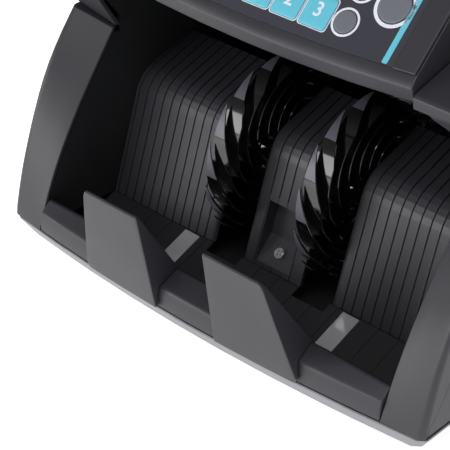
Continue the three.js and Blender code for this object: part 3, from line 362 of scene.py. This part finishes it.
class Finishes:
    """Every finish of the machine, made once, by the record's slot names and by print names."""

    def __init__(self) -> None:
        """Builds the materials."""
        self.by_slot: dict[str, bpy.types.Material] = {
            "housing_plastic": MouldedPlastic("charcoal_abs", Tone.CHARCOAL).material(),
            "inner_plastic": MouldedPlastic(
                "black_abs", Tone.BLACK_MOULDING, roughness=0.5
            ).material(),
            "base_plastic": MouldedPlastic("grey_abs", Tone.BASE_GREY, roughness=0.45).material(),
            "rubber": SoftRubber("nitrile_rubber").material(),
            "clear_plastic": PolishedPlastic(
                "silvered_sensor_window", Tone.WINDOW_SILVER, metallic=0.4
            ).material(),
            "steel": TurnedSteel("zinc_plated_steel").material(),
            "frame_steel": MouldedPlastic(
                "powder_coated_sheet", Tone.FRAME_PAINT, roughness=0.5, grain_mm=1.6
            ).material(),
            "wheel_plastic": PolishedPlastic("polished_black_acetal", Tone.FIN_BLACK).material(),
            "panel_film": MouldedPlastic(
                "printed_polyester_film", Tone.FILM_SLATE, roughness=0.33, grain_depth=0.05
            ).material(),
            "key_turquoise": MouldedPlastic(
                "turquoise_key_film", Tone.TURQUOISE, roughness=0.4, grain_depth=0.05
            ).material(),
            "key_grey": MouldedPlastic(
                "grey_key_film", Tone.KEY_GREY, roughness=0.4, grain_depth=0.05
            ).material(),
            "display_plastic": PolishedPlastic("display_acrylic", Tone.DISPLAY_BLACK).material(),
            "circuit_board": LacqueredBoard("green_board").material(),
        }
        self.print_white = MouldedPlastic(
            "white_print", Tone.PRINT_WHITE, roughness=0.5, grain_depth=0.02
        ).material()
        self.print_turquoise = MouldedPlastic(
            "turquoise_print", Tone.TURQUOISE, roughness=0.4, grain_depth=0.02
        ).material()
        self.oxide_steel = TurnedSteel(
            "black_oxide_steel", Tone.OXIDE_STEEL, roughness=0.4
        ).material()
        # Painted highlight: each fin's outer face near its tip is coloured grey satin, where the
        # fins catch the light.
        self.scuffed_acetal = MouldedPlastic(
            "painted_fin_highlight", Tone.SCUFFED_FIN, roughness=0.36, grain_mm=2.0, grain_depth=0.06
        ).material()
        # Painted shade: the unlit inside is coloured near-black and matte, so it gives the eye
        # depth and no shape.
        self.cavity = MouldedPlastic("unlit_cavity", Tone.CAVITY_BLACK, roughness=0.8).material()

    def dress_frame(self, frame: dict) -> None:
        """Gives every CAD node the finish of its slot in the record."""
        for part in frame["record"]["subparts"]:
            dress(frame["nodes"][part["node"]], self.by_slot[part["material_slot"]])


def dress(piece: bpy.types.Object, material: bpy.types.Material) -> None:
    """Puts one material on a whole piece."""
    piece.data.materials.clear()
    piece.data.materials.append(material)


# ---------------------------------------------------------------- mesh making


def piece_from(name: str, mesh: bmesh.types.BMesh, smooth_deg: float = 32.0) -> bpy.types.Object:
    """Turns finished mesh code into an object with clean shading.

    Args:
        name: the piece's name.
        mesh: its surface; it is freed here.
        smooth_deg: edges sharper than this stay sharp.

    Returns:
        The new object, linked to the scene.
    """
    bmesh.ops.recalc_face_normals(mesh, faces=mesh.faces)
    if mesh.calc_volume(signed=True) < 0.0:
        bmesh.ops.reverse_faces(mesh, faces=mesh.faces)
    data = bpy.data.meshes.new(name)
    mesh.to_mesh(data)
    mesh.free()
    data.shade_smooth()
    data.set_sharp_from_angle(angle=math.radians(smooth_deg))
    piece = bpy.data.objects.new(name, data)
    bpy.context.scene.collection.objects.link(piece)
    return piece


def settle_normals(piece: bpy.types.Object) -> bpy.types.Object:
    """Lets large flat faces rule the shading next to their rounded edges."""
    weighted = piece.modifiers.new("flat_faces_rule", "WEIGHTED_NORMAL")
    weighted.keep_sharp = True
    weighted.weight = FLAT_FACE_WEIGHT
    with bpy.context.temp_override(object=piece, active_object=piece):
        bpy.ops.object.modifier_apply(modifier=weighted.name)
    return piece


def loft(
    rings: Sequence[Sequence[Vector]], mesh: bmesh.types.BMesh | None = None
) -> bmesh.types.BMesh:
    """Skins equal rings of points into a closed body with flat ends.

    Args:
        rings: one closed outline per station.
        mesh: a mesh to add to, or None for a new one.

    Returns:
        The mesh.
    """
    mesh = mesh or bmesh.new()
    rows = [[mesh.verts.new(p) for p in ring] for ring in rings]
    count = len(rows[0])
    for low, high in zip(rows, rows[1:]):
        for i in range(count):
            j = (i + 1) % count
            mesh.faces.new((low[i], low[j], high[j], high[i]))
    mesh.faces.new(rows[0][::-1])
    mesh.faces.new(rows[-1])
    return mesh


def rounded_rect(width: float, height: float, radius: float, steps: int = 6) -> list[Point2]:
    """Returns a rectangle about zero with round corners, anticlockwise."""
    corners = [(1, 1, 0.0), (-1, 1, 90.0), (-1, -1, 180.0), (1, -1, 270.0)]
    points = []
    for side_x, side_y, start in corners:
        centre_x = side_x * (width / 2 - radius)
        centre_y = side_y * (height / 2 - radius)
        for i in range(steps + 1):
            angle = math.radians(start + 90.0 * i / steps)
            points.append(
                (centre_x + radius * math.cos(angle), centre_y + radius * math.sin(angle))
            )
    return points


def disc(radius: float, steps: int = 48) -> list[Point2]:
    """Returns a circle about zero as a closed outline."""
    turn = [2 * math.pi * i / steps for i in range(steps)]
    return [(radius * math.cos(a), radius * math.sin(a)) for a in turn]


def scaled(outline: Iterable[Point2], inset: float, half: Point2) -> list[Point2]:
    """Draws an outline in by one distance on every side.

    Args:
        outline: points about zero.
        inset: how far each side moves in.
        half: the outline's half width and half height.

    Returns:
        The smaller outline.
    """
    kx = (half[0] - inset) / half[0]
    ky = (half[1] - inset) / half[1]
    return [(x * kx, y * ky) for x, y in outline]


def rounded_copy(
    node: str, width_mm: float, segments: int = 2, smooth_deg: float = 32.0
) -> bpy.types.Object:
    """Rebuilds a CAD solid with its outside edges rounded, and lets the copy stand for it.

    Args:
        node: the CAD node.
        width_mm: width of the rounding.
        segments: steps across it.
        smooth_deg: edges sharper than this stay sharp.

    Returns:
        The rounded piece, placed but not yet dressed.
    """
    source = bpy.data.objects[node]
    mesh = bmesh.new()
    mesh.from_mesh(source.data)
    bmesh.ops.remove_doubles(mesh, verts=mesh.verts, dist=MERGE_MM * MM)
    bmesh.ops.dissolve_limit(
        mesh, angle_limit=math.radians(FLAT_DEG), verts=mesh.verts, edges=mesh.edges
    )
    least = math.radians(LEAST_EDGE_DEG)
    sharp = [
        e for e in mesh.edges
        if len(e.link_faces) == 2 and e.is_convex and e.calc_face_angle(0.0) > least
        and e.calc_length() > LEAST_EDGE_MM * MM
    ]
    bmesh.ops.bevel(
        mesh, geom=sharp, offset=width_mm * MM, segments=segments, profile=0.5,
        affect="EDGES", clamp_overlap=False, miter_outer="ARC",
    )
    piece = piece_from(f"{node}_rounded", mesh, smooth_deg)
    settle_normals(piece)
    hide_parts(node)
    return piece


# ---------------------------------------------------------------- the machine's own places


@dataclass(frozen=True)
class Layout:
    """Reference places shared by the sub-assemblies, in metres.

    zero_y is the line where the bay's floor meets its back wall.
    """

    zero_y: float
    panel_y: float
    panel_z: float
    panel_slope: float = math.radians(44.0)

    @classmethod
    def read(cls) -> Layout:
        """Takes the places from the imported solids."""
        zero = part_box("tray_floor")[1].y + 0.1 * MM
        return cls(zero_y=zero, panel_y=zero - 22.6 * MM, panel_z=173.6 * MM)

    def on_panel(self, x_mm: float, v_mm: float, n_mm: float) -> Vector:
        """Returns the point x across, v up and n above the sloped panel."""
        c, s = math.cos(self.panel_slope), math.sin(self.panel_slope)
        return Vector((
            x_mm * MM,
            self.panel_y + (v_mm * c - n_mm * s) * MM,
            self.panel_z + (v_mm * s + n_mm * c) * MM,
        ))

    def panel_matrix(self, x_mm: float, v_mm: float, n_mm: float) -> Matrix:
        """Returns the placement of a flat piece that lies on the sloped panel."""
        turn = Matrix.Rotation(self.panel_slope, 4, "X")
        return Matrix.Translation(self.on_panel(x_mm, v_mm, n_mm)) @ turn


# ---------------------------------------------------------------- sub-assemblies


@dataclass
class Mouldings:
    """The outside and bay mouldings, with their edges rounded as the tool leaves them."""

    finishes: Finishes
    slots: dict[str, str]
    tray_floor_from: float = 2.0
    tray_rim_skip: float = 0.05
    level: float = 0.8
    edges_mm: tuple[tuple[str, float], ...] = (
        ("base_tray", 0.7),
        ("front_apron", 0.9),
        ("left_note_stop", 0.7),
        ("right_note_stop", 0.7),
        ("left_front_band", 0.6),
        ("right_front_band", 0.6),
        ("left_side_cover", 0.6),
        ("right_side_cover", 0.6),
        ("upper_housing", 0.8),
        ("head_housing", 0.7),
        ("left_bezel", 0.45),
        ("right_bezel", 0.45),
        ("hopper_plate", 0.4),
        ("rear_door", 0.4),
        ("rear_panel", 0.4),
    )

    def build(self) -> None:
        """Rounds and dresses each moulding."""
        for node, width in self.edges_mm:
            piece = rounded_copy(node, width)
            slot = self.slots[node]
            dress(piece, self.finishes.by_slot[slot])
            if node == "base_tray":
                self.darken_inside(piece)
            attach(piece, bpy.data.objects[node]["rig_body"])
            LOG.info("%s: edges rounded to %.2f mm", node, width)

    def darken_inside(self, piece: bpy.types.Object) -> None:
        """Paints the tray's inside faces near-black, as the shade of an unlit cavity."""
        piece.data.materials.append(self.finishes.cavity)
        low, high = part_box("base_tray")
        for face in piece.data.polygons:
            height = face.center.z
            inside = low.z + self.tray_floor_from * MM < height < high.z - self.tray_rim_skip * MM
            inward = face.center.x * face.normal.x + face.center.y * face.normal.y < 0.0
            if inside and (face.normal.z > self.level or inward):
                face.material_index = 1


@dataclass
class StackerWheel:
    """One finned stacker wheel: spiral fins with pointed tips on a slotted hub."""

    side: str
    finishes: Finishes
    tip_radius: float = 52.7
    hub_radius: float = 15.0
    fin_count: int = 14
    fin_width: float = 13.0
    wrap_deg: float = 128.0
    first_tip_deg: float = 17.0
    point_deg: float = 34.0
    first_drop: float = 2.4
    curl: float = 1.75
    root_thickness: float = 1.3
    tip_thickness: float = 0.6
    steps: int = 26
    edge_break: float = 0.22
    cut_depth: float = 0.96
    thicken_rate: float = 8.0
    # how far along each fin the painted highlight reaches, how close to the skin, and how outward
    # the face must be
    scuff_reach: float = 0.8
    scuff_slack: float = 0.5
    scuff_outward: float = 0.8

    def fin_ring(self, share: float, turn_deg: float, centre: Vector) -> list[Vector]:
        """Returns the fin's section at one share of its length, tip first.

        Args:
            share: 0 at the tip, 1 inside the hub.
            turn_deg: which fin this is.
            centre: the wheel's centre.

        Returns:
            Eight points: a flat strip with its long edges broken.
        """
        angle = math.radians(self.first_tip_deg + turn_deg + self.wrap_deg * share)
        pitches = self.wrap_deg * share * self.fin_count / 360.0
        outer = self.tip_radius - self.first_drop * pitches**self.curl
        grow = min(1.0, share * self.thicken_rate)
        thick = self.tip_thickness + (self.root_thickness - self.tip_thickness) * grow
        back = max(0.0, 1.0 - self.wrap_deg * share / self.point_deg) * self.cut_depth
        low_x, high_x = -self.fin_width / 2, self.fin_width / 2 - self.fin_width * back
        nick = min(self.edge_break, thick / 4)
        inner = outer - thick
        flat = [
            (low_x + nick, outer), (high_x - nick, outer), (high_x, outer - nick),
            (high_x, inner + nick), (high_x - nick, inner), (low_x + nick, inner),
            (low_x, inner + nick), (low_x, outer - nick),
        ]
        return [
            centre + Vector((x, -math.sin(angle) * r, math.cos(angle) * r)) * MM
            for x, r in flat
        ]

    def is_scuffed(self, arm: Vector, normal: Vector) -> bool:
        """Tells whether a face is on a fin's outer side near its tip, where the grey painted
        highlight goes.

        Args:
            arm: from the wheel's centre to the face.
            normal: the face's normal.

        Returns:
            True on the part that carries the painted highlight.
        """
        radius = math.hypot(arm.y, arm.z) / MM
        outward = (arm.y * normal.y + arm.z * normal.z) / max(radius * MM, MM)
        turn = math.degrees(math.atan2(-arm.y, arm.z)) - self.first_tip_deg
        pitch = 360.0 / self.fin_count
        past_tip = turn % pitch
        tip_drop = self.first_drop * (past_tip / pitch) ** self.curl
        near_tip = past_tip < self.scuff_reach * pitch
        on_skin = abs(radius - self.tip_radius + tip_drop) < self.scuff_slack
        return near_tip and outward > self.scuff_outward and on_skin

    def build(self) -> bpy.types.Object:
        """Builds, dresses and mounts the wheel."""
        low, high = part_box(f"{self.side}_stacker_wheel")
        shaft_low, shaft_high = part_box("stacker_shaft")
        centre = Vector(((low.x + high.x) / 2, (shaft_low.y + shaft_high.y) / 2,
                         (shaft_low.z + shaft_high.z) / 2))
        mesh = bmesh.new()
        for fin in range(self.fin_count):
            turn = 360.0 * fin / self.fin_count
            rings = [self.fin_ring(i / self.steps, turn, centre) for i in range(self.steps + 1)]
            loft(rings, mesh)
        steps = [(-8.3, 8.6), (-8.0, 8.9), (-6.5, 8.9), (-6.5, 14.6), (-6.1, self.hub_radius),
                 (-3.2, self.hub_radius), (-2.8, 14.0), (2.8, 14.0), (3.2, self.hub_radius),
                 (6.1, self.hub_radius), (6.5, 14.6), (6.5, 8.9), (8.0, 8.9), (8.3, 8.6)]
        rings = []
        for x, radius in steps:
            rings.append([centre + Vector((x, y, z)) * MM for y, z in disc(radius, 56)])
        loft(rings, mesh)
        piece = piece_from(f"{self.side}_finned_wheel", mesh, 40.0)
        dress(piece, self.finishes.by_slot["wheel_plastic"])
        # The outer faces near the fin tips get a painted grey highlight.
        piece.data.materials.append(self.finishes.scuffed_acetal)
        for face in piece.data.polygons:
            if self.is_scuffed(face.center - centre, face.normal):
                face.material_index = 1
        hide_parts(f"{self.side}_stacker_wheel")
        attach(piece, "stacker")
        LOG.info("%s stacker wheel: %d fins", self.side, self.fin_count)
        return piece


@dataclass
class Keypad:
    """The sloped panel's keys, digits and prints."""

    finishes: Finishes
    layout: Layout
    middle_x: float = 18.4
    first_v: float = 18.6
    pitch_x: float = 17.6
    pitch_v: float = 17.8
    key_width: float = 15.8
    key_height: float = 16.2
    key_low: float = 1.0
    key_high: float = 2.0
    digit_size: float = 10.32
    round_x: float = 52.2
    round_radius: float = 5.8
    start_x: float = 72.0
    start_v: float = 33.6
    start_radius: float = 8.4
    print_low: float = 1.2
    print_high: float = 1.36
    stripe_x: float = 81.6
    stripe_v: float = 45.5
    stripe_size: Point2 = (3.0, 76.0)
    frame_grow: Point2 = (1.5, 1.3)
    frame_gap: float = 0.5
    digit_lift: float = 0.6

    def digit_place(self, digit: int) -> Point2:
        """Returns a digit key's middle on the panel, in millimetres."""
        if digit == 0:
            return self.middle_x, self.first_v + 3 * self.pitch_v
        row, column = divmod(digit - 1, 3)
        return self.middle_x + (column - 1) * self.pitch_x, self.first_v + row * self.pitch_v

    def cap(self, outline: list[Point2], half: Point2, high: float) -> bmesh.types.BMesh:
        """Lofts a low key cap with a rolled edge and a faint crown.

        Args:
            outline: the cap's plan about zero, in millimetres.
            half: its half width and half height.
            high: its top above the panel.

        Returns:
            The cap in panel coordinates, in metres.
        """
        levels = [(self.key_low, 0.0), (high - 0.45, 0.0), (high - 0.2, 0.08), (high - 0.08, 0.28),
                  (high - 0.02, 0.7), (high, 2.2)]
        rings = []
        for n, inset in levels:
            rings.append([Vector((x, v, n)) * MM for x, v in scaled(outline, inset, half)])
        return loft(rings)

    def mount(self, piece: bpy.types.Object, node: str, x: float, v: float, slot: str) -> None:
        """Lays a cap on the panel, dresses it and lets it stand for its CAD key."""
        piece.matrix_world = self.layout.panel_matrix(x, v, 0.0)
        dress(piece, self.finishes.by_slot[slot])
        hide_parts(node)
        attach(piece, node)

    def mark(
        self, name: str, text: str, x: float, v: float, body: str, size: float, n: float
    ) -> None:
        """Prints one character on a key.

        Args:
            name: the print's name.
            text: the character.
            x: its middle across the panel.
            v: its middle up the panel.
            body: the body it rides on.
            size: its height.
            n: its face above the panel.
        """
        curve = bpy.data.curves.new(name, "FONT")
        curve.body = text
        curve.size = size * MM
        curve.extrude = 0.03 * MM
        curve.offset = 0.12 * MM
        curve.align_x = "CENTER"
        curve.align_y = "CENTER"
        holder = bpy.data.objects.new(f"{name}_curve", curve)
        bpy.context.scene.collection.objects.link(holder)
        bpy.context.view_layer.update()
        data = bpy.data.meshes.new_from_object(holder.evaluated_get(
            bpy.context.evaluated_depsgraph_get()))
        bpy.data.objects.remove(holder)
        piece = bpy.data.objects.new(name, data)
        bpy.context.scene.collection.objects.link(piece)
        piece.matrix_world = self.layout.panel_matrix(x, v, n)
        dress(piece, self.finishes.print_white)
        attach(piece, body)

    def flat_print(
        self, name: str, outline: list[Point2], x: float, v: float,
        material: bpy.types.Material, hole: list[Point2] | None = None,
    ) -> None:
        """Lays a thin print on the panel.

        Args:
            name: the print's name.
            outline: its shape about its middle.
            x: its middle across the panel.
            v: its middle up the panel.
            material: its ink.
            hole: an inner outline with as many points, for a ring.
        """
        base, top = self.print_low, self.print_high
        mesh = bmesh.new()
        if hole is None:
            loft([[Vector((a, b, n)) * MM for a, b in outline] for n in (base, top)], mesh)
        else:
            rows = []
            for shape, n in ((outline, base), (outline, top), (hole, top), (hole, base)):
                rows.append([mesh.verts.new(Vector((a, b, n)) * MM) for a, b in shape])
            count = len(outline)
            for k in range(4):
                one, two = rows[k], rows[(k + 1) % 4]
                for i in range(count):
                    j = (i + 1) % count
                    mesh.faces.new((one[i], one[j], two[j], two[i]))
        piece = piece_from(name, mesh)
        piece.matrix_world = self.layout.panel_matrix(x, v, 0.0)
        dress(piece, material)
        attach(piece, BODY)

    def build(self) -> None:
        """Builds the keys, their digits and the panel's prints."""
        half = (self.key_width / 2, self.key_height / 2)
        for digit in range(10):
            x, v = self.digit_place(digit)
            plan = rounded_rect(self.key_width, self.key_height, 1.6)
            cap = piece_from(f"digit_cap_{digit}", self.cap(plan, half, self.key_high), 50.0)
            self.mount(cap, f"key_{digit}", x, v, "key_turquoise")
            self.mark(f"digit_{digit}", str(digit), x, v + self.digit_lift, f"key_{digit}",
                      self.digit_size, self.key_high)
            frame_plan = rounded_rect(
                self.key_width + self.frame_grow[0], self.key_height + self.frame_grow[1], 2.0
            )
            hole = rounded_rect(
                self.key_width + self.frame_gap, self.key_height + self.frame_gap, 1.8
            )
            self.flat_print(f"digit_frame_{digit}", frame_plan, x, v,
                            self.finishes.print_white, hole)
        round_plan = disc(self.round_radius)
        for row, name in enumerate(("small_key_lower", "small_key_upper")):
            v = self.first_v + row * self.pitch_v
            half_round = (self.round_radius, self.round_radius)
            cap = piece_from(f"{name}_cap", self.cap(round_plan, half_round, self.key_high), 50.0)
            self.mount(cap, name, self.round_x, v, "key_grey")
        start_plan = disc(self.start_radius)
        start_half = (self.start_radius, self.start_radius)
        cap = piece_from("start_cap", self.cap(start_plan, start_half, self.key_high + 0.2), 50.0)
        self.mount(cap, "start_key", self.start_x, self.start_v, "key_grey")
        self.build_prints()
        LOG.info("keypad: thirteen keys")

    def build_prints(self) -> None:
        """Prints the rings round the grey keys and the turquoise stripe."""
        for row in range(2):
            v = self.first_v + row * self.pitch_v
            self.flat_print(f"small_ring_{row}", disc(self.round_radius + 1.6), self.round_x, v,
                            self.finishes.print_white, disc(self.round_radius + 0.45))
        self.flat_print("start_ring", disc(self.start_radius + 2.3), self.start_x, self.start_v,
                        self.finishes.print_white, disc(self.start_radius + 0.5))
        stripe = rounded_rect(*self.stripe_size, 0.8)
        self.flat_print("side_stripe", stripe, self.stripe_x, self.stripe_v,
                        self.finishes.print_turquoise)


LAND_WIDTHS: dict[str, float] = {
    "feed_roller": 22.0,
    "pickup_roller": 16.0,
    "retard_roller": 18.0,
    "pinch_roller": 14.0,
}


@dataclass
class Rollers:
    """Rubber lands on steel shafts in the note path."""

    finishes: Finishes
    roller_x: float = 24.0
    grooves: int = 3
    shaft_radius: float = 4.0
    pulley_past_x: float = 0.130

    def shaft_piece(self, node: str, radius: float) -> None:
        """Rebuilds one roller as a blackened steel shaft with rubber lands.

        Args:
            node: the CAD roller.
            radius: the land's radius, in millimetres.
        """
        low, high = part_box(node)
        centre = Vector((0.0, (low.y + high.y) / 2, (low.z + high.z) / 2))
        width = LAND_WIDTHS[node]
        mesh = bmesh.new()
        for side in (-1, 1):
            middle = side * self.roller_x
            rings = []
            profile: list[Point2] = [(-width / 2, 4.1), (-width / 2, radius - 0.6),
                                     (-width / 2 + 0.7, radius)]
            for k in range(1, self.grooves + 1):
                at = -width / 2 + width * k / (self.grooves + 1)
                profile += [(at - 0.6, radius), (at - 0.4, radius - 0.8), (at + 0.4, radius - 0.8),
                            (at + 0.6, radius)]
            profile += [(width / 2 - 0.7, radius), (width / 2, radius - 0.6), (width / 2, 4.1)]
            for x, r in profile:
                rings.append([centre + Vector((middle + x, y, z)) * MM for y, z in disc(r, 64)])
            loft(rings, mesh)
        lands = piece_from(f"{node}_lands", mesh, 35.0)
        dress(lands, self.finishes.by_slot["rubber"])
        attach(lands, node)
        shaft = bmesh.new()
        ends: list[Point2] = [(low.x / MM, 3.2), (low.x / MM + 0.8, 4.0)]
        if high.x > self.pulley_past_x:
            bore = self.shaft_radius
            ends += [(126.2, bore), (126.2, 14.5), (127.0, 14.5), (127.0, 13.0), (133.8, 13.0),
                     (133.8, 14.5), (134.6, 14.5), (134.6, bore)]
        ends += [(high.x / MM - 0.8, 4.0), (high.x / MM, 3.2)]
        loft([[centre + Vector((x, y, z)) * MM for y, z in disc(r, 40)] for x, r in ends], shaft)
        steel = piece_from(f"{node}_shaft", shaft, 35.0)
        dress(steel, self.finishes.oxide_steel)
        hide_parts(node)
        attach(steel, node)

    def build(self) -> None:
        """Builds the four rollers."""
        for node in LAND_WIDTHS:
            low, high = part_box(node)
            self.shaft_piece(node, (high.y - low.y) / 2 / MM)
        LOG.info("rollers: rubber lands on steel shafts")


@dataclass
class VentScreen:
    """A near-black sheet that hangs behind the rear panel's slots: painted shade that keeps them
    dark and blocks the light behind them.
    """

    finishes: Finishes
    width: float = 96.0
    height: float = 62.0
    middle_x: float = -45.0
    middle_z: float = 64.0
    gap: float = 3.6
    thickness: float = 1.2

    def build(self) -> None:
        """Builds the screen, a little in front of the slots."""
        panel_low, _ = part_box("rear_panel")
        face = panel_low.y - self.gap * MM
        rings = []
        for depth, inset in ((0.0, 0.4), (0.3, 0.0), (self.thickness, 0.0)):
            plan = rounded_rect(self.width - 2 * inset, self.height - 2 * inset, 3.0)
            rings.append([
                Vector(((self.middle_x + x) * MM, face - depth * MM, (self.middle_z + z) * MM))
                for x, z in plan
            ])
        piece = piece_from("slot_shade_sheet", loft(rings))
        # Painted shade: the sheet takes the near-black of unlit hollows.
        dress(piece, self.finishes.cavity)
        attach(piece, BODY)
        LOG.info("vent screen: hung behind the rear slots")


@dataclass
class Studio:
    """A pale floor, soft light from the front, the top and the back, and the camera."""

    layout: Layout
    camera_bay_mm: tuple[float, float, float] = (487.6, -548.8, 521.3)
    look: tuple[float, float, float] = (-0.579, 0.610, -0.541)
    focal_mm: float = 133.2
    floor_size: float = 6.0
    floor_glow: float = 0.75
    horizon_glow: float = 0.7
    zenith_glow: float = 0.16

    def floor(self) -> None:
        """Lays the floor: white paper that its own lamps keep bright under the machine."""
        mesh = bmesh.new()
        half = self.floor_size / 2
        corners = [mesh.verts.new((x * half, y * half, -0.0002))
                   for x, y in ((-1, -1), (1, -1), (1, 1), (-1, 1))]
        mesh.faces.new(corners)
        piece = piece_from("floor", mesh)
        material, tree = blank("studio_paper")
        place = add(tree, "ShaderNodeTexCoord")
        fibre = add(tree, "ShaderNodeTexNoise", {}, {
            "Vector": place.outputs["Object"], "Scale": per_mm(40.0), "Detail": 2.0,
        })
        tone = add(tree, "ShaderNodeMix", {"data_type": "RGBA"}, {
            0: fibre.outputs["Fac"],
            6: shade(Tone.FLOOR_WHITE, 0.98), 7: shade(Tone.FLOOR_WHITE, 1.0),
        })
        surface = add(tree, "ShaderNodeBsdfPrincipled", {}, {
            "Base Color": tone.outputs[2], "Roughness": 0.7,
            "Emission Color": (1.0, 1.0, 1.0, 1.0), "Emission Strength": self.floor_glow,
        })
        add(tree, "ShaderNodeOutputMaterial", {}, {"Surface": surface.outputs["BSDF"]})
        dress(piece, material)

    def softbox(self, name: str, place: Vector, size: Point2, radiance: float) -> None:
        """Hangs one rectangular light that faces the machine.

        Args:
            name: the light's name.
            place: its middle.
            size: its width and height.
            radiance: how bright its face is.
        """
        light = bpy.data.lights.new(name, "AREA")
        light.shape = "RECTANGLE"
        light.size, light.size_y = size
        light.energy = radiance * size[0] * size[1] * math.pi
        holder = bpy.data.objects.new(name, light)
        holder.location = place
        holder.rotation_euler = (Vector((0, 0, 0.1)) - place).to_track_quat("-Z", "Y").to_euler()
        bpy.context.scene.collection.objects.link(holder)

    def surroundings(self) -> None:
        """Makes the room: bright round the horizon, darker overhead."""
        world = bpy.data.worlds.new("studio")
        world.use_nodes = True
        tree = world.node_tree
        tree.nodes.clear()
        place = add(tree, "ShaderNodeTexCoord")
        parts = add(tree, "ShaderNodeSeparateXYZ", {}, {"Vector": place.outputs["Generated"]})
        rise = add(tree, "ShaderNodeMapRange", {"interpolation_type": "SMOOTHSTEP"}, {
            "Value": parts.outputs["Z"], "From Min": 0.05, "From Max": 0.6,
            "To Min": self.horizon_glow, "To Max": self.zenith_glow,
        })
        sky = add(tree, "ShaderNodeBackground", {}, {
            "Color": (1.0, 1.0, 1.0, 1.0), "Strength": rise.outputs["Result"],
        })
        add(tree, "ShaderNodeOutputWorld", {}, {"Surface": sky.outputs["Background"]})
        bpy.context.scene.world = world

    def build(self) -> None:
        """Sets up the stage."""
        scene = bpy.context.scene
        scene.view_settings.view_transform = "Standard"
        self.floor()
        self.surroundings()
        self.softbox("side_box", Vector((-0.75, -1.35, 0.42)), (1.3, 0.66), 3.6)
        self.softbox("front_top_box", Vector((0.35, -0.75, 1.25)), (0.9, 0.6), 3.6)
        self.softbox("top_box", Vector((0.2, 0.5, 1.4)), (0.8, 0.8), 0.8)
        self.softbox("back_box", Vector((-0.3, 1.4, 0.8)), (1.2, 0.6), 1.2)
        camera = bpy.data.cameras.new("camera")
        camera.lens = self.focal_mm
        camera.sensor_width = 36.0
        camera.clip_start = 0.01
        camera.dof.use_dof = False
        holder = bpy.data.objects.new("camera", camera)
        x, y, z = (v * MM for v in self.camera_bay_mm)
        holder.location = (x, y + self.layout.zero_y, z)
        holder.rotation_euler = Vector(self.look).to_track_quat("-Z", "Y").to_euler()
        scene.collection.objects.link(holder)
        scene.camera = holder


# ---------------------------------------------------------------- making


def main() -> None:
    """Builds every sub-assembly in order."""
    logging.basicConfig(level=logging.INFO, format="%(name)s: %(message)s")
    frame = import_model()
    slots = {part["node"]: part["material_slot"] for part in frame["record"]["subparts"]}
    finishes = Finishes()
    finishes.dress_frame(frame)
    layout = Layout.read()
    Mouldings(finishes, slots).build()
    for side in ("left", "right"):
        StackerWheel(side, finishes).build()
    Keypad(finishes, layout).build()
    Rollers(finishes).build()
    VentScreen(finishes).build()
    Studio(layout).build()


if __name__ == "__main__":
    main()
